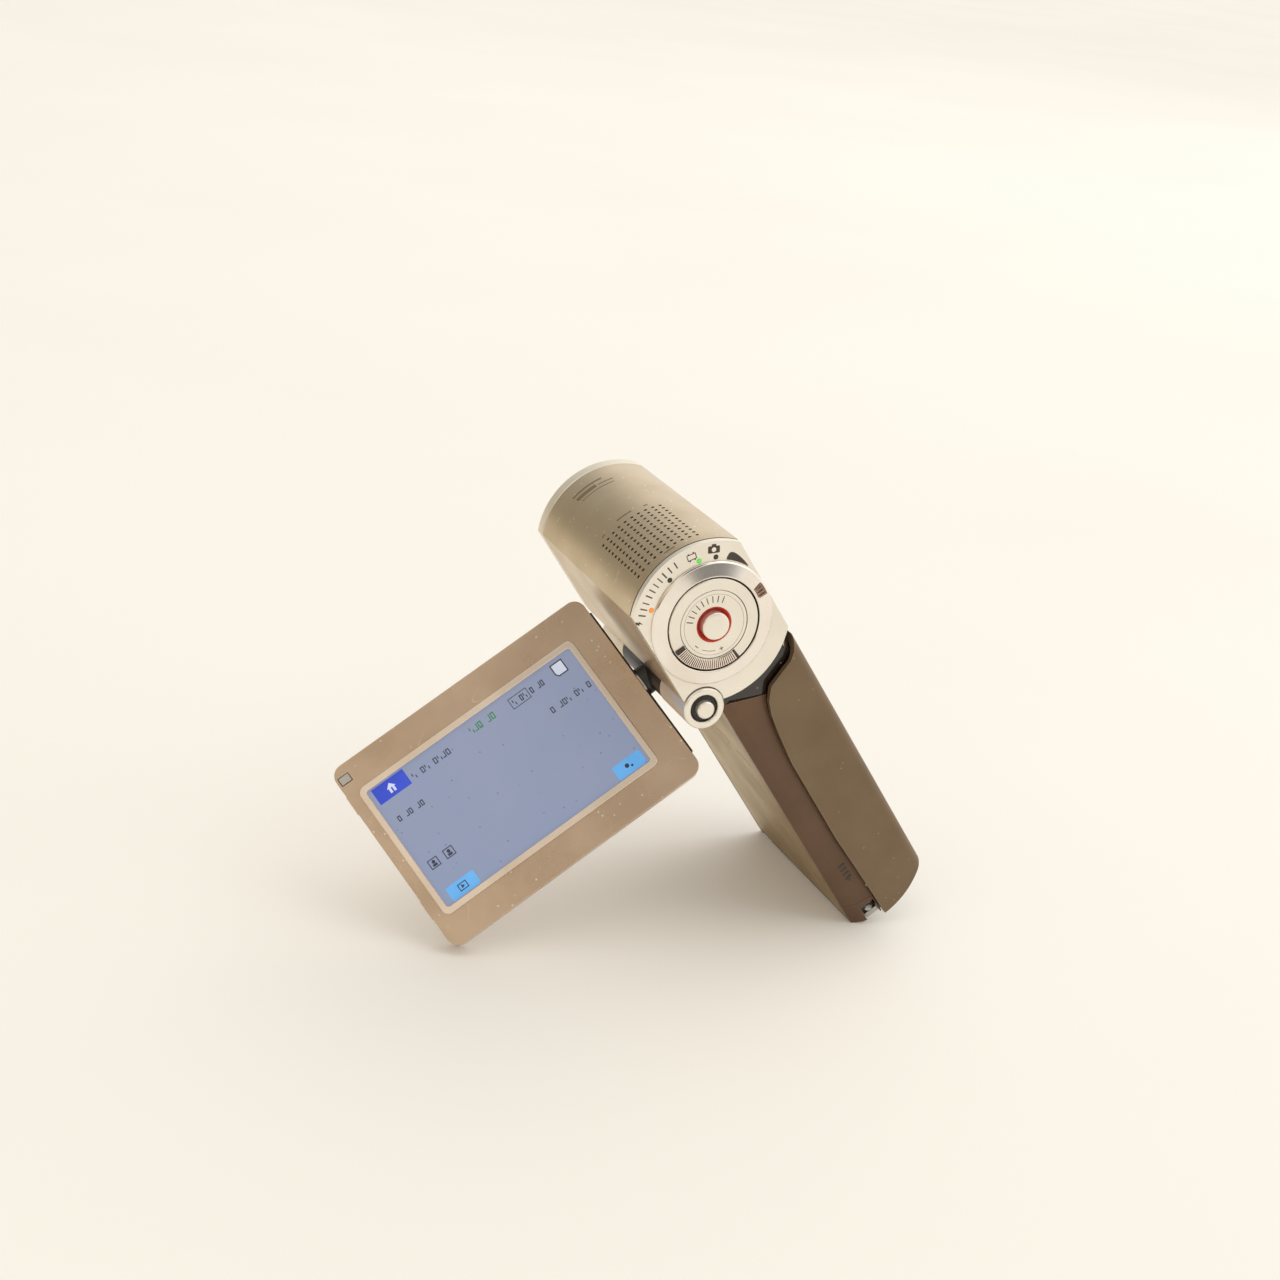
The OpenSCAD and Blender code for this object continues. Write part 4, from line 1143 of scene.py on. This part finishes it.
# ---- Screen panel ---------------------------------------------------------------------------
@dataclass
class ScreenPanel:
    """Fold-out panel: bronze frame, bright raised bezel, lit picture, back shell and screws."""

    places: Places
    length: float = 72.0
    thickness: float = 5.8
    ink_rise: float = 0.03
    screw_inset: float = 6.0
    screw_half: float = 20.5

    def build(self) -> None:
        """Builds and dresses the panel."""
        refined("panel_frame", 0.42, 3)
        refined("screen_bezel", 0.42, 4)
        refined("screen_glass", 0.1)
        refined("panel_back", 0.5, 3)
        refined("panel_edge_strip", 0.12)
        refined("panel_catch", 0.15)
        dressed("display_module")
        self._screws()
        self._edge_grips()
        self._menu()

    def _screws(self) -> None:
        """Sets four cross-head screws into the back shell."""
        back = Place(self.places.panel.at(self.length / 2, 0, -self.thickness / 2 + 0.5),
                     self.places.panel.x, -self.places.panel.y, -self.places.panel.z)
        head = template(dot(0, 0, 1.05, 28), 0.0, 0.3, 0.06)
        screws = Repeat(Layout.GRID).build(
            "panel_back_screws", back, head, "steel", Columns=2, Rows=2,
            Width=self.length - 2 * self.screw_inset, Length=2 * self.screw_half)
        finished(screws, "screen", "steel", ["panel_screws"])
        cross = template(bar(-0.62, 0.62, -0.1, 0.1), 0.0, 0.035)
        other = template(bar(-0.1, 0.1, -0.62, 0.62), 0.0, 0.035)
        for name, slot in (("panel_screw_slots_long", cross), ("panel_screw_slots_cross", other)):
            lifted = Place(back.origin + back.z * 0.3 * MM, back.x, back.y, back.z)
            slots = Repeat(Layout.GRID).build(
                name, lifted, slot, "black_plastic", Columns=2, Rows=2,
                Width=self.length - 2 * self.screw_inset, Length=2 * self.screw_half)
            finished(slots, "screen", "black_plastic")

    def _edge_grips(self) -> None:
        """Adds the two short finger ribs on the free edge."""
        edge = Place(self.places.panel.at(self.length, 0, -0.6), self.places.panel.y,
                     self.places.panel.z, self.places.panel.x)
        ribs = slab("panel_edge_ribs", edge, [pill(-18.8, -13.6, -0.5, 0.5, 0.45),
                                              pill(11.3, 16.7, -0.5, 0.5, 0.45)], -0.1, 0.28, 0.12)
        finished(ribs, "screen", "panel_bronze")

    def _on_picture(self, name: str, outlines: Sequence[Sequence[Point2]], finish: str,
                    level: int = 1) -> None:
        """Lays flat shapes on the lit picture, each level a hair above the last.

        Args:
            name: object name.
            outlines: outlines as (along the panel, down it).
            finish: key of FINISHES.
            level: 1 for shapes on the picture, 2 for shapes on those.
        """
        top = self.thickness / 2
        piece = slab(name, self.places.panel, outlines, top - 0.02, top + self.ink_rise * level)
        finished(piece, "screen", finish)

    @staticmethod
    def _stroke(x0: float, x1: float, y0: float, y1: float, kind: int) -> list[list[Point2]]:
        """One plain mark of a gauge: an open box, a post with a foot, or two short posts."""
        line, middle = 0.24, (y0 + y1) / 2
        if kind == 0:
            return ring_bars(x0, x1, y0, y1, line)
        if kind == 1:
            return [bar(x0, x0 + line, y0, y1), bar(x0 + line, x1, y1 - line, y1)]
        return [bar(x0, x0 + line, middle, y1), bar(x1 - line, x1, y0, middle)]

    def _menu(self) -> None:
        """Draws a plain menu: keys with pictograms, a card, gauges and short bars, with no words."""
        self._on_picture("menu_home_key", [bar(57.6, 66.5, -16.3, -12.1)], "picture_navy")
        roof = [(60.9, -14.2), (62.1, -15.4), (63.3, -14.2)]
        self._on_picture("menu_home_sign", [roof, bar(61.3, 61.9, -14.2, -13.0),
                                            bar(62.3, 62.9, -14.2, -13.0)], "picture_white", 2)
        for name, start in (("play", 57.9), ("option", 9.9)):
            self._on_picture(f"menu_{name}_key", [pill(start, start + 7.8, 12.7, 16.3, 0.5)],
                             "picture_sky")
        sign = ring_bars(60.6, 63.0, 13.6, 15.4, 0.22)
        self._on_picture("menu_play_sign", [*sign, [(62.2, 14.0), (62.2, 15.0), (61.3, 14.5)]],
                         "picture_ink", 2)
        self._on_picture("menu_option_sign", [dot(14.3, 14.3, 0.55), dot(13.2, 14.9, 0.3)],
                         "picture_ink", 2)
        card = [(12.0, -15.7), (15.4, -15.7), (15.4, -13.1), (14.7, -12.3), (12.0, -12.3)]
        self._on_picture("menu_card_outline", [card], "picture_ink")
        inner = [(12.3, -15.4), (15.1, -15.4), (15.1, -13.2), (14.6, -12.6), (12.3, -12.6)]
        self._on_picture("menu_card_face", [inner], "picture_white", 2)
        words = {
            "menu_quality_bars": (18.6, 27.6, -14.3, 1.5, "110101101", "picture_ink"),
            "menu_time_bars": (9.8, 21.4, -7.5, 1.5, "1011011101", "picture_ink"),
            "menu_ready_bars": (32.5, 39.8, -14.9, 1.7, "110111", "picture_green"),
            "menu_level_bars": (46.0, 56.9, -14.0, 1.5, "111101101", "picture_ink"),
            "menu_sound_bars": (57.9, 65.4, -7.7, 1.4, "1101101", "picture_ink"),
        }
        for name, (start, end, down, height, pattern, finish) in words.items():
            step = (end - start) / len(pattern)
            bars = []
            for place, mark in enumerate(pattern):
                if mark == "1":
                    x = start + place * step
                    bars += self._stroke(x, x + step * 0.78, down, down + height, place % 3)
            self._on_picture(name, bars, finish)
        self._on_picture("menu_quality_frame", ring_bars(22.9, 28.1, -15.0, -12.2, 0.16),
                         "picture_ink")
        for name, middle in (("menu_face_sign", 59.9), ("menu_frame_sign", 64.2)):
            self._on_picture(name, [*ring_bars(middle - 1.3, middle + 1.3, 5.0, 7.4, 0.22),
                                    dot(middle, 5.9, 0.45), bar(middle - 0.6, middle + 0.6, 6.4, 7.0)],
                             "picture_ink")


# ---- Grip -----------------------------------------------------------------------------------
@dataclass
class Grip:
    """Raised pad, sunken strip, gold left face, neck, base cover and small outside parts."""

    places: Places
    strip_y: float = 0.9
    mark_x: float = -3.0
    mark_z: float = 13.6

    def build(self) -> None:
        """Builds and dresses the outside of the grip."""
        refined("right_cover", 0.45, 3)
        refined("rear_strip", 0.3, 2)
        refined("front_strip", 0.3, 2)
        refined("left_plate", 0.15)
        refined("base_cover", 0.2, 2)
        # The neck's near-black finish is partly painted shade of the recess under the head, over its own dark
        # plastic.
        refined("neck_trim", 0.25, 2)
        refined("corner_trim", 0.12)
        refined("flash_window", 0.2)
        refined("strap_lug", 0.15)
        refined("forward_side_button", 0.12)
        refined("rear_side_button", 0.12)
        dressed("dock_connector", "cover_pin")
        self._open_mark()

    def _open_mark(self) -> None:
        """Presses a plain arrow and three ticks into the strip above the base cover."""
        back = Place(self.places.body.at(0, self.strip_y, 0), self.places.body.x,
                     self.places.body.z, -self.places.body.y)
        x, low = self.mark_x, self.mark_z
        ticks = [bar(x - 0.95, x + 0.95, low + step, low + step + 0.6) for step in (2.5, 3.9, 5.3)]
        arrow = [[(x - 1.0, low + 1.7), (x + 1.0, low + 1.7), (x, low)]]
        finished(slab("open_arrow_mark", back, arrow + ticks, -0.12, 0.06), "camcorder", "dark_mark")


@dataclass
class Inside:
    """Hidden parts, which keep their CAD meshes."""

    nodes: tuple[str, ...] = ("chassis", "battery", "memory_card", "card_slot", "main_board",
                              "speaker")

    def build(self) -> None:
        """Dresses the hidden parts."""
        dressed(*self.nodes)


# ---- Studio ---------------------------------------------------------------------------------
@dataclass
class Studio:
    """Pale floor, soft light and the camera."""

    floor_half: float = 6.0
    eye: tuple[float, float, float] = (-0.1936, -0.4259, 0.2430)
    ahead: tuple[float, float, float] = (0.3897, 0.8517, -0.3505)
    up: tuple[float, float, float] = (0.0461, 0.3620, 0.9310)
    lens: float = 58.63
    dim_patches: tuple[tuple[tuple[float, float, float], float, float, float], ...] = (
        ((-0.12, -0.62, 0.775), 9.0, 21.0, 0.8),
        ((-0.45, 0.75, 0.48), 10.0, 46.0, 0.6),
        ((0.35, -0.93, 0.14), 6.0, 20.0, 0.75),
    )
    room_strength: float = 1.08

    def build(self) -> None:
        """Builds the floor, the lights and the camera."""
        self._floor()
        self._sky()
        self._sun(Vector((0.75, -0.1, 1.0)), 0.26, 1.1)
        for name, place, size, power, tint in (
            ("right_softbox", (1.9, 0.9, 1.5), 1.6, 7.0, (1.0, 0.995, 0.985)),
            ("left_card", (-0.9, -0.5, 0.5), 0.5, 0.4, (1.0, 0.99, 0.975)),
        ):
            self._area(name, Vector(place), size, power, tint)
        data = bpy.data.cameras.new("studio_camera")
        data.lens = self.lens
        data.sensor_width = 36.0
        data.clip_start, data.clip_end = 0.01, 50.0
        camera = bpy.data.objects.new("studio_camera", data)
        bpy.context.scene.collection.objects.link(camera)
        ahead, up = Vector(self.ahead).normalized(), Vector(self.up)
        right = ahead.cross(up).normalized()
        up = right.cross(ahead)
        turn = Matrix((right, up, -ahead)).transposed().to_4x4()
        camera.matrix_world = Matrix.Translation(Vector(self.eye)) @ turn
        bpy.context.scene.camera = camera

    def _floor(self) -> None:
        """Lays the pale floor."""
        half = self.floor_half
        corners = [Vector((x, y, 0)) for x, y in bar(-half, half, -half, half)]
        floor = object_from("studio_floor", corners, [[0, 1, 2, 3]])
        pale = Finish("floor_paper", (240, 236, 228), (238, 234, 226), roughness=0.6, grain=900,
                      tone_scale=3, bump=0.05, glow=0.13)
        floor.data.materials.append(pale.material())

    def _sky(self) -> None:
        """Fills the room with soft light, bright above and to the right, and shows a plain backdrop.

        The ramp and the dim patches light the object; only camera rays see the plain colour.
        """
        world = bpy.data.worlds.new("studio_room")
        world.use_nodes = True
        tree = world.node_tree
        where = tree.nodes.new("ShaderNodeTexCoord")
        towards = tree.nodes.new("ShaderNodeVectorMath")
        towards.operation = "DOT_PRODUCT"
        towards.inputs[1].default_value = (0.8, 0.1, 0.6)
        tree.links.new(where.outputs["Generated"], towards.inputs[0])
        ramp = tree.nodes.new("ShaderNodeValToRGB")
        ends = ramp.color_ramp.elements
        ends[0].position, ends[0].color = 0.2, linear((150, 134, 110))
        ends[1].position, ends[1].color = 0.62, linear((255, 253, 249))
        ends.new(0.42).color = linear((232, 224, 208))
        shift = tree.nodes.new("ShaderNodeMapRange")
        shift.inputs["From Min"].default_value = -1.0
        tree.links.new(towards.outputs["Value"], shift.inputs["Value"])
        tree.links.new(shift.outputs[0], ramp.inputs["Fac"])
        share = None
        for aim, inner, outer, depth in self.dim_patches:
            patch = self._patch(tree, where.outputs["Generated"], aim, inner, outer, depth)
            both = tree.nodes.new("ShaderNodeMath")
            both.operation = "MULTIPLY"
            both.inputs[0].default_value = self.room_strength
            if share:
                tree.links.new(share, both.inputs[0])
            tree.links.new(patch, both.inputs[1])
            share = both.outputs[0]
        tree.links.new(share, tree.nodes["Background"].inputs["Strength"])
        tree.links.new(ramp.outputs[0], tree.nodes["Background"].inputs["Color"])
        plain = tree.nodes.new("ShaderNodeBackground")
        plain.inputs["Color"].default_value = linear((252, 246, 233))
        seen = tree.nodes.new("ShaderNodeMixShader")
        tree.links.new(tree.nodes.new("ShaderNodeLightPath").outputs["Is Camera Ray"], seen.inputs[0])
        tree.links.new(tree.nodes["Background"].outputs[0], seen.inputs[1])
        tree.links.new(plain.outputs[0], seen.inputs[2])
        tree.links.new(seen.outputs[0], tree.nodes["World Output"].inputs["Surface"])
        bpy.context.scene.world = world

    @staticmethod
    def _patch(tree: bpy.types.NodeTree, way: object, aim: Sequence[float], inner: float, outer: float,
               depth: float) -> object:
        """Dims the room softly round one direction, as a dark flag beside the lights does.

        Args:
            tree: the world's node tree.
            way: socket with the direction looked in.
            aim: middle of the dim patch.
            inner: angle within which it is dimmest, in degrees.
            outer: angle beyond which it has no effect.
            depth: share of the light that it takes.

        Returns:
            Socket with the share of light that is left.
        """
        dot_product = tree.nodes.new("ShaderNodeVectorMath")
        dot_product.operation = "DOT_PRODUCT"
        dot_product.inputs[1].default_value = Vector(aim).normalized()
        tree.links.new(way, dot_product.inputs[0])
        fall = tree.nodes.new("ShaderNodeMapRange")
        fall.interpolation_type = "SMOOTHSTEP"
        fall.inputs["From Min"].default_value = math.cos(math.radians(outer))
        fall.inputs["From Max"].default_value = math.cos(math.radians(inner))
        fall.inputs["To Min"].default_value = 1.0
        fall.inputs["To Max"].default_value = 1.0 - depth
        tree.links.new(dot_product.outputs["Value"], fall.inputs["Value"])
        return fall.outputs[0]

    @staticmethod
    def _sun(towards: Vector, strength: float, spread: float) -> None:
        """Adds one very soft directional light."""
        data = bpy.data.lights.new("window_light", "SUN")
        data.energy = strength
        data.angle = spread
        data.color = (1.0, 0.99, 0.97)
        lamp = bpy.data.objects.new("window_light", data)
        lamp.rotation_mode = "QUATERNION"
        lamp.rotation_quaternion = towards.to_track_quat("Z", "Y")
        bpy.context.scene.collection.objects.link(lamp)

    @staticmethod
    def _area(name: str, place: Vector, size: float, power: float, tint: Rgb) -> None:
        """Hangs one square softbox that faces the object."""
        data = bpy.data.lights.new(name, "AREA")
        data.size = size
        data.energy = power
        data.color = tint
        lamp = bpy.data.objects.new(name, data)
        lamp.location = place
        lamp.rotation_mode = "QUATERNION"
        lamp.rotation_quaternion = (Vector((0, 0, 0.05)) - place).to_track_quat("-Z", "Y")
        bpy.context.scene.collection.objects.link(lamp)


def main() -> None:
    """Builds every sub-assembly in order."""
    logging.basicConfig(level=logging.INFO, format="%(name)s: %(message)s")
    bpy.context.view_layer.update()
    bpy.context.scene.view_settings.view_transform = "Standard"
    places = Places()
    for part in (Head(places), Dial(places), ScreenHinge(places), ScreenPanel(places), Grip(places),
                 Inside(), Studio()):
        LOG.info("building %s", type(part).__name__)
        part.build()


if __name__ == "__main__":
    main()
